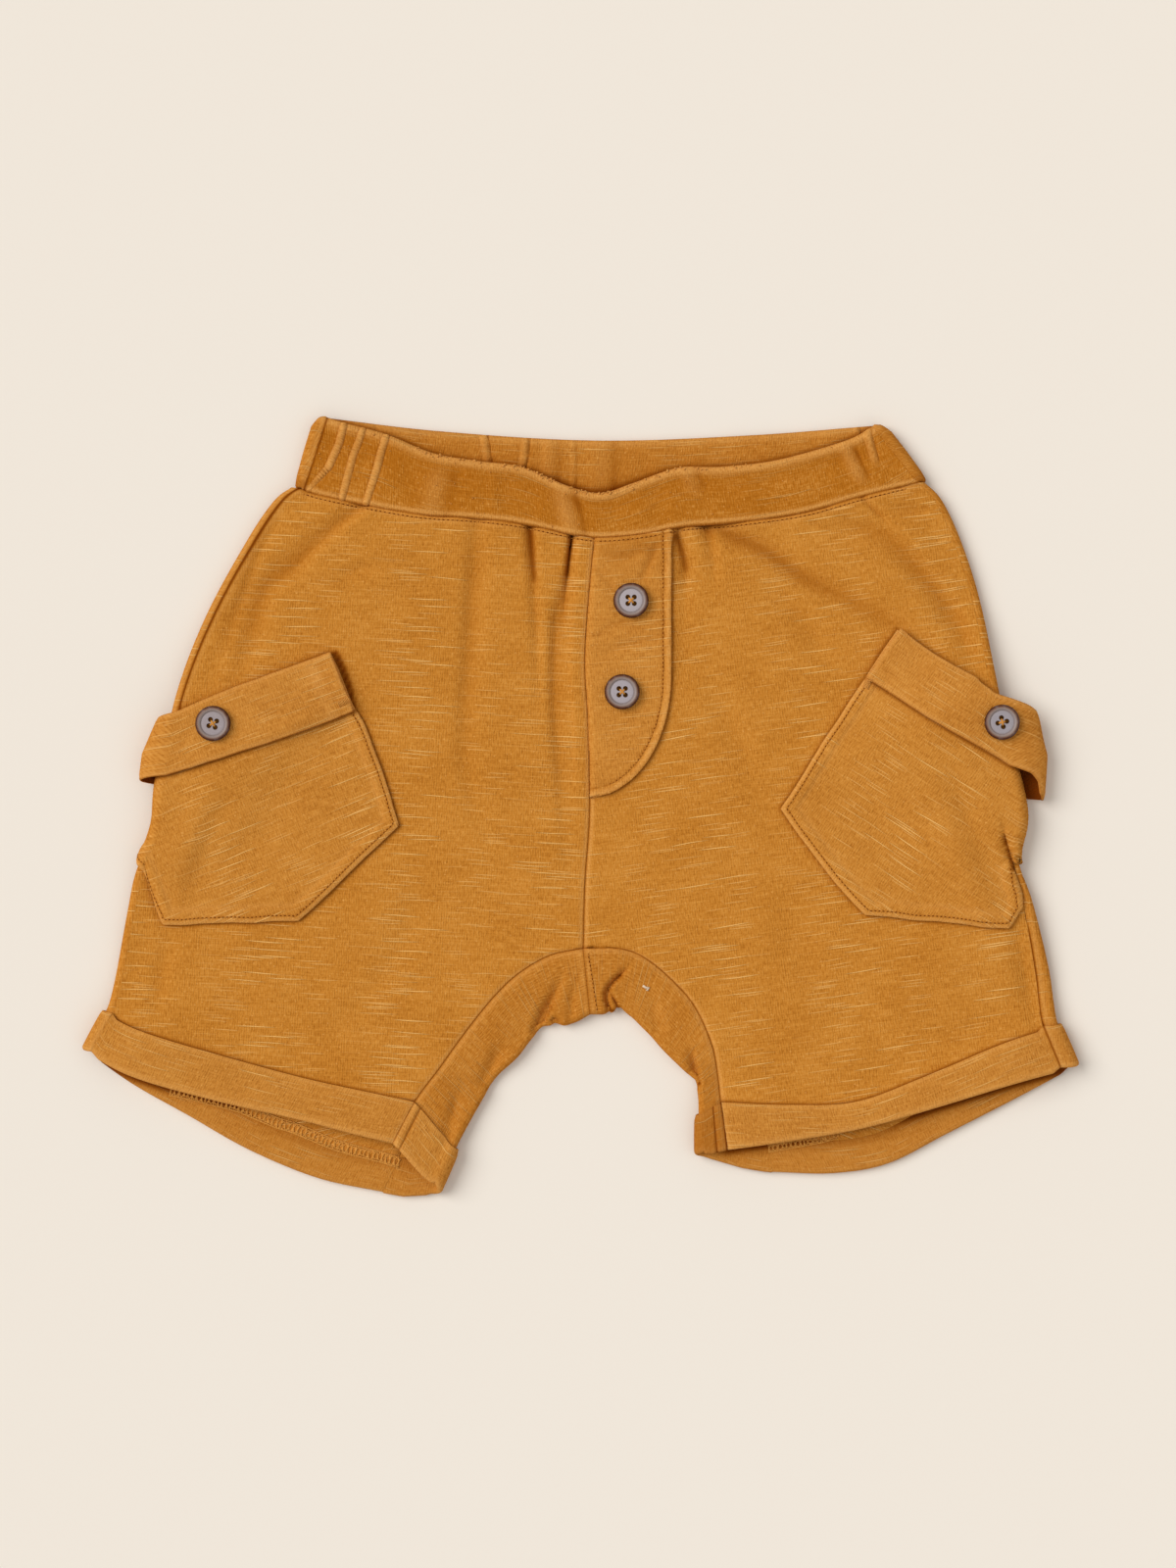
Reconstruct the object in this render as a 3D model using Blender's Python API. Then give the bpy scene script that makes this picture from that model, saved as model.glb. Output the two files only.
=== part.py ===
"""Baby shorts in slub jersey, laid flat on their back with the front up.

The shorts are two layers of cloth that turn into each other at rounded side folds. Each cut piece is
a wall of cloth laid through sections of that double sheet: two fronts, two backs that come round the
side folds to the side seams, an inner-leg band in two halves, an elastic waistband in a front and a
back, turned-up cuffs, a mock fly, and two patch pockets with turned-down bands that go round the sides.

Axes: +Z up from the floor, +Y towards the waist, +X to the right as seen from above.
The tables and sizes are in millimetres, and the meshes are made in metres.
"""

import math

import bmesh
import bpy
import numpy as np
from mathutils import Matrix

MM = 0.001

# Cloth and trim
CLOTH = 1.0  # one layer of jersey
BAND_CLOTH = 2.2  # waistband: two layers round an elastic
POCKET_BAND_CLOTH = 1.4  # turned-down top of a pocket, two layers pressed together
SEAM_GAP = 0.3  # between two pieces that meet at a seam
LAY_GAP = 0.4  # air between a layer and what lies on it
LAYER = CLOTH + LAY_GAP  # from the middle of one layer to the middle of the next
FOLD_RADIUS = 1.6  # middle of the cloth where front turns into back
FOLD_REACH = FOLD_RADIUS + CLOTH / 2  # from the outline in to the fold's centre
LOFT = 1.0  # how far the front stands up away from the folds
LOFT_RUN = 16.0  # distance over which it rises
LIFT_MARGIN = 3.5  # how far the back stays up beside what is folded under it
LIFT_RUN = 26.0  # distance over which the back comes down from what is folded under it
CUFF_LIFT_RUN = 14.0

# Cuffs, pockets, fly and buttons
CUFF_DEPTH = 15.5
CUFF_OVERLAP = 0.3  # share of the cuff's depth that lies over the end of the leg
POCKET_WIDTH = 83.2
POCKET_BAND_DEPTH = 20.5
BAND_LAYER = LAY_GAP + POCKET_BAND_CLOTH
FLY_WIDTH = 27.5
FLY_LENGTH = 84.5
FLY_STRAIGHT = 45.0  # length of the fly above its rounded end
BUTTON_RADIUS = 5.75  # an 18-line button
BUTTON_HOLE_RADIUS = 0.7
BUTTON_HOLE_OFFSET = 1.05

# Divisions of the meshes
BODY_ROWS = 14  # waist to crotch
LEG_ROWS = 9  # crotch to cuff
FRONT_COLUMNS = 18
BACK_SHARES = (0.0, 0.06, 0.13, 0.21, 0.3, 0.41, 0.54, 0.68, 0.84, 1.0)  # columns of the back, from its fold
FOLD_STEPS = 5  # facets round a fold
LATTICE = 7.0  # cell of a piece that lies on a panel

# The waistband's stations, left to right: its front's rolled top edge and its front seam.
WAIST_COLUMNS = ("top_x", "top_y", "seam_x", "seam_y")
WAIST_STATIONS = (
    (-82.8, 126.5, -90.2, 103.1),
    (-76.6, 124.6, -84.6, 101.4),
    (-63.5, 121.0, -70.0, 98.3),
    (-48.3, 114.9, -51.8, 95.2),
    (-33.7, 112.3, -34.0, 94.0),
    (-19.0, 110.3, -18.0, 92.0),
    (-4.3, 104.2, -3.6, 88.9),
    (6.7, 101.8, 6.7, 87.6),
    (17.3, 105.0, 20.9, 88.8),
    (32.0, 110.0, 34.1, 91.3),
    (46.7, 110.4, 50.3, 92.6),
    (65.0, 112.7, 72.3, 95.7),
    (87.0, 119.0, 91.5, 101.0),
    (95.8, 123.6, 110.2, 105.7),
)
# The back half of the waistband: its top edge and its seam, left to right.
BACK_WAIST_TOP = ((-85.6, 126.9), (-45.4, 122.2), (5.8, 119.2), (57.0, 121.0), (98.6, 124.3))
BACK_WAIST_SEAM = ((-93.4, 104.2), (-45.0, 98.6), (2.6, 97.3), (55.0, 99.2), (113.4, 106.2))
# Shares of the band's depth at which it is cut into rows, and how far its ends swell past a straight.
BAND_ROWS = (0.0, 0.14, 0.5, 0.86, 1.0)
BAND_SWELL = (0.0, 1.5, 1.2, 0.6, 0.0)
# Gathers that stand up on the front of the waistband.
RIDGE_COLUMNS = ("top_x", "seam_x", "height", "half_width")
BAND_RIDGES = (
    (-76.5, -88.5, 0.9, 2.2),
    (-70.6, -77.4, 0.8, 2.0),
    (-63.2, -69.9, 0.9, 2.2),
    (88.0, 92.0, 0.5, 2.4),
)

CENTRE_FRONT = ((4.6, 87.5), (2.9, 69.1), (1.5, 47.0), (2.6, 26.2), (3.1, -2.0), (1.6, -25.0), (1.0, -46.7))

# Outer folds, waist to hem: outline of the cloth, and how far in from it the side seam shows.
FOLD_COLUMNS = ("x", "y", "seam_inset")
OUTER_FOLDS = {
    "left": (
        (-94.8, 103.8, 2.6),
        (-100.5, 99.4, 2.8),
        (-109.0, 87.0, 2.8),
        (-122.9, 61.4, 2.8),
        (-132.2, 35.8, 2.6),
        (-137.8, 8.0, 2.6),
        (-139.4, -7.0, 2.6),
        (-145.4, -21.8, 2.6),
        (-148.2, -34.6, 2.6),
        (-152.6, -58.0, 2.6),
        (-155.4, -67.8, 2.6),
        (-162.2, -80.4, 2.6),
    ),
    "right": (
        (112.8, 105.6, 2.6),
        (118.6, 99.6, 2.6),
        (124.6, 87.0, 2.6),
        (130.8, 67.8, 2.6),
        (135.9, 42.2, 2.6),
        (140.4, 19.8, 2.6),
        (145.2, -2.6, 2.6),
        (143.2, -17.0, 2.8),
        (148.0, -31.4, 3.4),
        (153.6, -53.8, 4.8),
        (156.4, -72.0, 5.2),
        (162.4, -85.6, 5.6),
    ),
}

# Inner-leg band, crotch to hem: its front seam, its fold (the outline) and its back seam.
GUSSET_COLUMNS = ("front_x", "front_y", "fold_x", "fold_y", "back_x", "back_y")
GUSSETS = {
    "left": (
        (1.0, -46.7, 3.2, -68.5, 1.4, -50.6),
        (-9.9, -49.0, -3.0, -71.8, -9.0, -53.0),
        (-20.2, -55.0, -10.4, -72.8, -19.5, -59.0),
        (-27.5, -61.8, -15.5, -76.2, -27.0, -66.0),
        (-33.6, -69.1, -20.2, -82.2, -34.0, -73.5),
        (-40.0, -77.5, -27.5, -89.6, -40.5, -83.0),
        (-46.1, -86.1, -33.5, -99.0, -48.0, -94.0),
        (-54.1, -96.9, -40.8, -112.6, -57.0, -110.5),
        (-61.1, -110.4, -46.8, -126.6, -64.6, -126.8),
    ),
    "right": (
        (1.0, -46.7, 3.2, -68.5, 1.4, -50.6),
        (12.2, -46.7, 9.9, -68.5, 12.0, -51.0),
        (20.2, -49.3, 15.4, -68.5, 21.0, -54.5),
        (28.8, -56.0, 21.0, -73.5, 30.0, -62.0),
        (37.1, -65.3, 27.5, -80.6, 39.0, -73.0),
        (42.9, -77.8, 34.0, -87.2, 48.0, -86.0),
        (44.8, -87.4, 38.1, -93.4, 54.0, -95.0),
        (45.8, -96.9, 38.8, -101.6, 60.5, -104.0),
        (48.0, -112.6, 38.6, -115.0, 63.0, -120.2),
    ),
}
CUFF_SECTIONS = 1  # the last section spacing of a gusset is its cuff

# Hems, outer fold to gusset: the cuff's top edge in front, the front hem and the longer back hem.
HEM_COLUMNS = ("top_x", "top_y", "hem_x", "hem_y", "back_x", "back_y")
HEMS = {
    "left": (
        (-155.4, -67.8, -162.2, -80.4, -162.2, -80.4),
        (-144.0, -73.4, -146.2, -88.6, -147.0, -91.2),
        (-121.0, -80.6, -121.0, -96.0, -128.6, -101.6),
        (-91.8, -88.8, -92.0, -102.7, -108.4, -113.0),
        (-70.0, -93.6, -74.0, -107.4, -86.0, -122.2),
        (-54.1, -96.9, -61.1, -110.4, -64.6, -126.8),
    ),
    "right": (
        (156.4, -72.0, 162.4, -85.6, 162.4, -85.6),
        (137.9, -77.8, 142.4, -90.8, 143.0, -96.0),
        (111.4, -89.0, 115.8, -98.9, 120.0, -107.8),
        (89.6, -96.9, 92.0, -105.6, 101.0, -117.4),
        (67.5, -97.8, 69.0, -109.6, 83.0, -120.6),
        (45.8, -96.9, 48.0, -112.6, 63.0, -120.2),
    ),
}

# The largest folds of the front, as soft troughs that run from one point to the next.
CREASE_COLUMNS = ("x1", "y1", "x2", "y2", "half_width", "depth")
CREASES = (
    (-5.6, 88.0, -8.0, 44.0, 5.2, 1.3),
    (-8.0, 44.0, -8.4, 8.0, 5.2, 0.8),
    (-20.6, 93.0, -20.8, 72.0, 5.2, 1.2),
    (-34.8, 93.0, -37.8, 24.0, 5.6, 0.9),
    (-70.0, 97.0, -92.0, 70.0, 6.0, 1.1),
    (-100.0, 92.0, -112.0, 60.0, 6.0, 0.8),
    (41.0, 92.0, 70.7, 77.4, 6.4, 1.4),
    (70.7, 77.4, 98.0, 66.0, 6.4, 1.1),
    (92.0, 98.0, 114.0, 74.0, 6.4, 1.1),
)

# Pockets: inner top corner, turn of the top edge below level, inner and outer side, and point.
POCKET_COLUMNS = ("corner_x", "corner_y", "turn_deg", "inner_side", "outer_side", "point")
POCKETS = {
    "left": (-81.5, 50.1, 21.4, 60.5, 63.0, 16.0),
    "right": (103.4, 57.0, 32.9, 69.0, 61.7, 18.0),
}
# How far the band stands out past the fold, at its upper edge, its middle and its lower edge, and
# how much longer its way round is than the fold's.
BAND_BULGES = {"left": (0.8, 3.6, 3.2), "right": (6.6, 8.8, 5.4)}
BAND_EXTRA_RUN = {"left": 4.0, "right": 12.0}

BUTTON_COLUMNS = ("name", "x", "y", "turn_deg", "side", "stack")
BUTTONS = (
    ("button_fly_top", 16.6, 66.9, 0.0, "right", "fly"),
    ("button_fly_bottom", 13.7, 37.1, 0.0, "right", "fly"),
    ("button_pocket_left", -119.2, 26.7, -14.0, "left", "band"),
    ("button_pocket_right", 137.1, 27.1, -33.0, "right", "band"),
)
# A button's half section: radius and height, from the middle of its back to the middle of its face.
BUTTON_PROFILE = ((0.0, 0.0), (4.7, 0.0), (5.75, 0.9), (5.3, 2.3), (4.3, 2.3), (3.8, 1.7), (0.0, 1.7))
BUTTON_SIDES = 20

SIGN = {"left": -1.0, "right": 1.0}
COLOURS = {  # base colour, roughness
    "jersey": ((0.56, 0.23, 0.04), 0.92),
    "button": ((0.24, 0.19, 0.18), 0.45),
}


# Curves


def smooth_rows(rows, steps, first=0.0, last=None):
    """Points evenly placed by row number on the smooth curve through the rows, steps + 1 of them."""
    knots = np.asarray(rows, float)
    last = len(knots) - 1 if last is None else last
    ends = np.vstack([2 * knots[0] - knots[1], knots, 2 * knots[-1] - knots[-2]])
    places = np.linspace(first, last, steps + 1)
    start = np.minimum(places.astype(int), len(knots) - 2)
    t = (places - start)[:, None]
    before, here, there, after = (ends[start + k] for k in range(4))
    return 0.5 * (
        2 * here
        + (there - before) * t
        + (2 * before - 5 * here + 4 * there - after) * t**2
        + (3 * here - before - 3 * there + after) * t**3
    )


def at_shares(points, shares):
    """Points of a polyline at these shares of its length."""
    steps = np.linalg.norm(np.diff(points[:, :2], axis=0), axis=1)
    length = np.insert(np.cumsum(steps), 0, 0.0)
    wanted = np.asarray(shares) * length[-1]
    return np.stack([np.interp(wanted, length, column) for column in points.T], axis=1)


def shares_of(points):
    """How far along its polyline each point lies, from 0 to 1."""
    length = np.insert(np.cumsum(np.linalg.norm(np.diff(points, axis=0), axis=1)), 0, 0.0)
    return length / length[-1]


def fade(value):
    """A smooth step from 0 to 1."""
    t = np.clip(value, 0.0, 1.0)
    return t * t * (3 - 2 * t)


def distance_to(line, x, y):
    """Distance in plan from each point to a polyline."""
    place = np.stack([x, y], axis=-1)
    nearest = np.full(np.shape(x), np.inf)
    for a, b in zip(line[:-1, :2], line[1:, :2]):
        along = b - a
        t = np.clip(((place - a) @ along) / (along @ along), 0.0, 1.0)
        nearest = np.minimum(nearest, np.linalg.norm(place - a - t[..., None] * along, axis=-1))
    return nearest


def coons(top, bottom, start, end, shares):
    """Points inside four plan curves: top and bottom have a point per column, start and end per row."""
    u = shares_of(top)[None, :, None]
    v = np.asarray(shares)[:, None, None]
    ruled = (1 - v) * top[None] + v * bottom[None] + (1 - u) * start[:, None] + u * end[:, None]
    corners = (1 - v) * ((1 - u) * top[0] + u * top[-1]) + v * ((1 - u) * bottom[0] + u * bottom[-1])
    return ruled - corners


# The double sheet: heights of the middle of the back and of the front cloth

DENSE = 60
FOLD_LINES = {side: smooth_rows(rows, DENSE) for side, rows in OUTER_FOLDS.items()}
GUSSET_LINES = {side: smooth_rows(rows, DENSE) for side, rows in GUSSETS.items()}
HEM_LINES = {side: smooth_rows(rows, DENSE) for side, rows in HEMS.items()}
INNER_FOLD = np.vstack([GUSSET_LINES["left"][::-1, 2:4], GUSSET_LINES["right"][1:, 2:4]])
BACK_SEAM_LINE = smooth_rows(BACK_WAIST_SEAM, DENSE)
FRONT_SEAM_LINE = np.vstack(
    [BACK_SEAM_LINE[0], smooth_rows(WAIST_STATIONS, DENSE)[:, 2:4], BACK_SEAM_LINE[-1]]
)


def fold_centre(side, y):
    """X of the centre line of the outer fold at this height."""
    line = FOLD_LINES[side][::-1]
    return np.interp(y, line[:, 1], line[:, 0]) - SIGN[side] * FOLD_REACH


def seam_inset(side, y):
    line = FOLD_LINES[side][::-1]
    return np.interp(y, line[:, 1], line[:, 2])


def pocket_frame(side):
    """Inner top corner of a pocket, the direction of its top edge and the direction down its side."""
    corner_x, corner_y, turn_deg = POCKETS[side][:3]
    turn = math.radians(turn_deg)
    across = np.array([SIGN[side] * math.cos(turn), -math.sin(turn)])
    down = np.array([-SIGN[side] * math.sin(turn), -math.cos(turn)])
    return np.array([corner_x, corner_y]), across, down


def pocket_outline(side):
    inner, outer, point = POCKETS[side][3:]
    corner, across, down = pocket_frame(side)
    corners = (
        (0.0, 0.0),
        (POCKET_WIDTH, 0.0),
        (POCKET_WIDTH, outer),
        (POCKET_WIDTH / 2, (inner + outer) / 2 + point),
        (0.0, inner),
    )
    return np.array([corner + a * across + d * down for a, d in corners])


def band_outline(side):
    corner, across, down = pocket_frame(side)
    ends = ((0.3, 0.2), (POCKET_WIDTH - 0.3, 0.2))
    ends += ((POCKET_WIDTH - 0.3, POCKET_BAND_DEPTH), (0.3, POCKET_BAND_DEPTH))
    return np.array([corner + a * across + d * down for a, d in ends])


def outside(corners, x, y):
    """How far a plan point lies outside a convex outline, or a negative depth inside it."""
    middle = corners.mean(axis=0)
    farthest = np.full(np.shape(x), -np.inf)
    for a, b in zip(corners, np.roll(corners, -1, axis=0)):
        normal = np.array([b[1] - a[1], a[0] - b[0]]) / np.linalg.norm(b - a)
        normal *= -1.0 if (middle - a) @ normal > 0 else 1.0
        farthest = np.maximum(farthest, (x - a[0]) * normal[0] + (y - a[1]) * normal[1])
    return farthest


def back_height(x, y):
    """Middle of the back cloth: flat on the floor, and raised over what is folded under it."""
    height = np.full(np.shape(x), CLOTH / 2)
    height += (BAND_CLOTH - CLOTH) / 2 * (1 - fade(distance_to(BACK_SEAM_LINE, x, y) / CUFF_LIFT_RUN))
    for side, sign in SIGN.items():
        hem = np.vstack([HEM_LINES[side][:, 4:6], GUSSET_LINES[side][-1, 2:4]])
        past_cuff = (distance_to(hem, x, y) - CUFF_DEPTH) / CUFF_LIFT_RUN
        height += LAYER * (1 - fade(past_cuff))
        wrapped_x = 2 * fold_centre(side, y) - x + sign * math.pi * FOLD_RADIUS
        for outline, room in ((pocket_outline(side), LAYER), (band_outline(side), BAND_LAYER)):
            height += room * (1 - fade((outside(outline, wrapped_x, y) - LIFT_MARGIN) / LIFT_RUN))
    return height


def crease_depth(x, y):
    depth = np.zeros(np.shape(x))
    place = np.stack([x, y], axis=-1)
    for x1, y1, x2, y2, half_width, deepest in CREASES:
        start, along = np.array([x1, y1]), np.array([x2 - x1, y2 - y1])
        t = ((place - start) @ along) / (along @ along)
        off = np.linalg.norm(place - start - np.clip(t, 0, 1)[..., None] * along, axis=-1)
        depth = np.maximum(depth, deepest * np.exp(-((off / half_width) ** 2)))
    return depth


def front_height(x, y):
    """Middle of the front cloth: a fold's width above the back at the folds, lofted between them."""
    from_fold = distance_to(INNER_FOLD, x, y)
    for line in FOLD_LINES.values():
        from_fold = np.minimum(from_fold, distance_to(line, x, y))
    rise = fade((from_fold - FOLD_REACH) / LOFT_RUN)
    return back_height(x, y) + 2 * FOLD_RADIUS + rise * (LOFT - crease_depth(x, y))


def slopes(height, x, y):
    """Unit normal, facing up, of a height function."""
    step = 0.5
    along_x = (height(x + step, y) - height(x - step, y)) / (2 * step)
    along_y = (height(x, y + step) - height(x, y - step)) / (2 * step)
    normal = np.stack([-along_x, -along_y, np.ones(np.shape(x))], axis=-1)
    return normal / np.linalg.norm(normal, axis=-1, keepdims=True)


def on_garment(side, x, y, round_run=math.pi * FOLD_RADIUS):
    """Where cloth that runs out over an outer fold lies: a point of the sheet and its outward normal.

    A point past the fold's centre line goes round the fold and then in along the underside. The way
    round takes up round_run of the cloth.
    """
    sign = SIGN[side]
    centre = fold_centre(side, y)
    run = sign * (x - centre)
    angle = math.pi * np.clip(run / round_run, 0.0, 1.0)
    under_x = centre - sign * (run - round_run)
    on_top, under = run <= 0, run >= round_run
    fold_z = back_height(centre, y) + FOLD_RADIUS
    points = np.stack(
        [centre + sign * FOLD_RADIUS * np.sin(angle), y, fold_z + FOLD_RADIUS * np.cos(angle)], axis=-1
    )
    normals = np.stack([sign * np.sin(angle), np.zeros(np.shape(y)), np.cos(angle)], axis=-1)
    top_points = np.stack([x, y, front_height(x, y)], axis=-1)
    under_points = np.stack([under_x, y, back_height(under_x, y)], axis=-1)
    points = np.where(on_top[..., None], top_points, np.where(under[..., None], under_points, points))
    normals = np.where(on_top[..., None], slopes(front_height, x, y), normals)
    normals = np.where(under[..., None], -slopes(back_height, under_x, y), normals)
    return points, normals


# Solids from grids of points


def grid_normals(grid, outward):
    across, down = np.gradient(grid, axis=1), np.gradient(grid, axis=0)
    normals = np.cross(across, down) * outward
    return normals / np.linalg.norm(normals, axis=-1, keepdims=True)


def new_object(name, verts, faces, finish):
    """A closed mesh object from points in millimetres."""
    mesh = bpy.data.meshes.new(name)
    resting = np.array(verts, float)
    resting[:, 2] = np.maximum(resting[:, 2], 0.0)
    mesh.from_pydata((resting * MM).tolist(), [], faces)
    shape = bmesh.new()
    shape.from_mesh(mesh)
    bmesh.ops.recalc_face_normals(shape, faces=shape.faces)
    shape.to_mesh(mesh)
    shape.free()
    mesh.materials.append(material(finish))
    mesh.shade_smooth()
    mesh.set_sharp_from_angle(angle=math.radians(40))
    made = bpy.data.objects.new(name, mesh)
    bpy.context.scene.collection.objects.link(made)
    return made


def material(finish):
    if finish in bpy.data.materials:
        return bpy.data.materials[finish]
    colour, roughness = COLOURS[finish]
    made = bpy.data.materials.new(finish)
    made.use_nodes = True
    shader = made.node_tree.nodes["Principled BSDF"]
    shader.inputs["Base Color"].default_value = (*colour, 1.0)
    shader.inputs["Roughness"].default_value = roughness
    shader.inputs["Metallic"].default_value = 0.0
    return made


def wall(name, grid, thickness, outward):
    """A wall of cloth whose middle is a grid of points. The thickness is a number or one per row."""
    rows, columns = grid.shape[:2]
    half = np.broadcast_to(np.reshape(thickness, (-1, 1, 1)), (rows, 1, 1)) / 2
    offset = grid_normals(grid, outward) * half
    verts = np.concatenate([(grid + offset).reshape(-1, 3), (grid - offset).reshape(-1, 3)])
    inner = rows * columns
    faces = []
    for r in range(rows - 1):
        for c in range(columns - 1):
            a, b = r * columns + c, r * columns + c + 1
            quad = (a, b, b + columns, a + columns)
            faces += [quad, tuple(inner + k for k in reversed(quad))]
    rim = [c for c in range(columns)]
    rim += [r * columns + columns - 1 for r in range(1, rows)]
    rim += [(rows - 1) * columns + c for c in range(columns - 2, -1, -1)]
    rim += [r * columns for r in range(rows - 2, 0, -1)]
    faces += [(a, b, inner + b, inner + a) for a, b in zip(rim, rim[1:] + rim[:1])]
    return new_object(name, verts, faces, "jersey")


def trimmed(grid, first_row=0.0, last_row=0.0, first_column=0.0, last_column=0.0):
    """The grid with its edges drawn in by these distances, to leave the gaps at the seams."""
    grid = grid.copy()
    for distance, edge, beside in (
        (first_row, np.s_[0], np.s_[1]),
        (last_row, np.s_[-1], np.s_[-2]),
        (first_column, np.s_[:, 0], np.s_[:, 1]),
        (last_column, np.s_[:, -1], np.s_[:, -2]),
    ):
        inward = grid[beside] - grid[edge]
        length = np.linalg.norm(inward, axis=-1, keepdims=True)
        grid[edge] = grid[edge] + inward * (distance / length)
    return grid


# Rows of one half of the garment


def half_rows(side):
    """Plan curves of one half: rows of the inner-leg band, the inner edges and the shares down."""
    leg = smooth_rows(GUSSETS[side], LEG_ROWS, last=len(GUSSETS[side]) - 1 - CUFF_SECTIONS)
    centre = smooth_rows(CENTRE_FRONT, BODY_ROWS)
    front_edge = np.vstack([centre, leg[1:, 0:2]])
    back_top = np.array([centre[0, 0], np.interp(centre[0, 0], BACK_SEAM_LINE[:, 0], BACK_SEAM_LINE[:, 1])])
    back_centre = back_top + (leg[0, 4:6] - back_top) * np.linspace(0, 1, BODY_ROWS + 1)[:, None]
    back_edge = np.vstack([back_centre, leg[1:, 4:6]])
    return leg, front_edge, back_edge, shares_of(front_edge)


def fold_rows(side, shares, first_y, last_y):
    """Height of each row at the outer fold."""
    line = FOLD_LINES[side]
    line = line[(line[:, 1] <= first_y + 1e-6) & (line[:, 1] >= last_y - 1e-6)]
    return at_shares(line, shares)[:, 1]


def side_seam(side, y):
    return np.stack([fold_centre(side, y) + SIGN[side] * (FOLD_REACH - seam_inset(side, y)), y], axis=1)


def part_of_seam(line, x_from, x_to, shares):
    """Points along a waist seam between two x positions."""
    x = x_from + (x_to - x_from) * np.asarray(shares)
    return np.stack([x, np.interp(x, line[:, 0], line[:, 1])], axis=1)


def lip(side, y):
    """The back's cloth from the side seam over the fold: grid rows by y, columns round the fold."""
    centre = fold_centre(side, y)[:, None]
    top = (FOLD_REACH - seam_inset(side, y))[:, None]
    steps = np.linspace(0.0, math.pi * FOLD_RADIUS, FOLD_STEPS + 1)[None, :]
    run = np.concatenate([top, np.broadcast_to(steps, (len(y), steps.shape[1]))], axis=1)
    points, _ = on_garment(side, centre + SIGN[side] * run, np.broadcast_to(y[:, None], run.shape))
    return points


def sheet_grid(plan, height):
    return np.dstack([plan, height(plan[..., 0], plan[..., 1])])


def leg_sections(rows, outward_reach=FOLD_REACH):
    """Sections of the inner-leg band: over the top, round the fold and back along the underside."""
    front, fold, back = rows[:, 0:2], rows[:, 2:4], rows[:, 4:6]
    inward = (front - fold) / np.linalg.norm(front - fold, axis=1, keepdims=True)
    centre = fold + inward * outward_reach
    top_steps = np.linspace(0.0, 1.0, 4)[:-1]
    top = np.stack([front + (centre - front) * t for t in top_steps], axis=1)
    under = np.stack([centre + (back - centre) * t for t in np.linspace(0.0, 1.0, 4)[1:]], axis=1)
    fold_z = back_height(centre[:, 0], centre[:, 1]) + FOLD_RADIUS
    arc = []
    for angle in np.linspace(0.0, math.pi, FOLD_STEPS + 1):
        place = centre - inward * FOLD_RADIUS * math.sin(angle)
        arc.append(np.column_stack([place, fold_z + FOLD_RADIUS * math.cos(angle)]))
    return np.concatenate(
        [sheet_grid(top, front_height), np.stack(arc, axis=1), sheet_grid(under, back_height)], axis=1
    )


# Pieces


def panels(side):
    """The front and the back of one half, down to the seam under the cuff, and its inner-leg band."""
    sign = SIGN[side]
    leg, front_edge, back_edge, shares = half_rows(side)
    hem = HEM_LINES[side]
    y = fold_rows(side, shares, FOLD_LINES[side][0, 1], hem[0, 1])

    outer = side_seam(side, y)
    top = part_of_seam(FRONT_SEAM_LINE, front_edge[0, 0], outer[0, 0], np.linspace(0, 1, FRONT_COLUMNS + 1))
    top[0], top[-1] = front_edge[0], outer[0]
    bottom = at_shares(hem[::-1, 0:2], np.linspace(0, 1, FRONT_COLUMNS + 1))
    bottom[0], bottom[-1] = front_edge[-1], outer[-1]
    front_plan = coons(top, bottom, front_edge, outer, shares)
    front_cuff = cuff_plan_front(side, FRONT_COLUMNS)
    under_cuff = front_plan[-1] + (front_cuff[-1] - front_plan[-1]) * CUFF_OVERLAP
    front = sheet_grid(np.concatenate([front_plan, under_cuff[None]]), front_height)
    gaps = {"first_row": SEAM_GAP / 2, "last_row": SEAM_GAP, "first_column": SEAM_GAP / 2}
    wall(f"front_{side}", trimmed(front, last_column=SEAM_GAP / 2, **gaps), CLOTH, -sign)

    cuff = cuff_grid_back(side)
    fold = lip(side, y)
    under_outer = fold[:, -1, :2]
    top = part_of_seam(BACK_SEAM_LINE, under_outer[0, 0], back_edge[0, 0], BACK_SHARES)
    top[0], top[-1] = under_outer[0], back_edge[0]
    bottom = cuff[0, -len(BACK_SHARES) :, :2]
    under = coons(top, bottom, under_outer, back_edge, shares)[:, 1:]
    back = np.concatenate([fold, sheet_grid(under, back_height)], axis=1)
    under_cuff = cuff[0] + (cuff[-1] - cuff[0]) * CUFF_OVERLAP
    back = np.concatenate([back, under_cuff[None]])
    gaps["first_row"] = SEAM_GAP
    wall(f"back_{side}", trimmed(back, last_column=SEAM_GAP / 2, **gaps), CLOTH, -sign)

    cuff_rows = GUSSET_LINES[side][-1:]
    end = leg[-1:] + (cuff_rows - leg[-1:]) * CUFF_OVERLAP
    band = leg_sections(np.vstack([leg, end]))
    wall(f"inner_leg_{side}", trimmed(band, last_column=SEAM_GAP / 2, **gaps), CLOTH, sign)


def cuff_plan_front(side, columns):
    """Plan rows of the front between the cuff's top edge and the hem, gusset to side seam."""
    hem = HEM_LINES[side]
    shares = np.linspace(0, 1, columns + 1)
    top = at_shares(hem[::-1, 0:2], shares)
    bottom = at_shares(hem[::-1, 2:4], shares)
    top[-1], bottom[-1] = side_seam(side, np.array([hem[0, 1], hem[0, 3]]))
    return np.stack([top, bottom])


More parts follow.
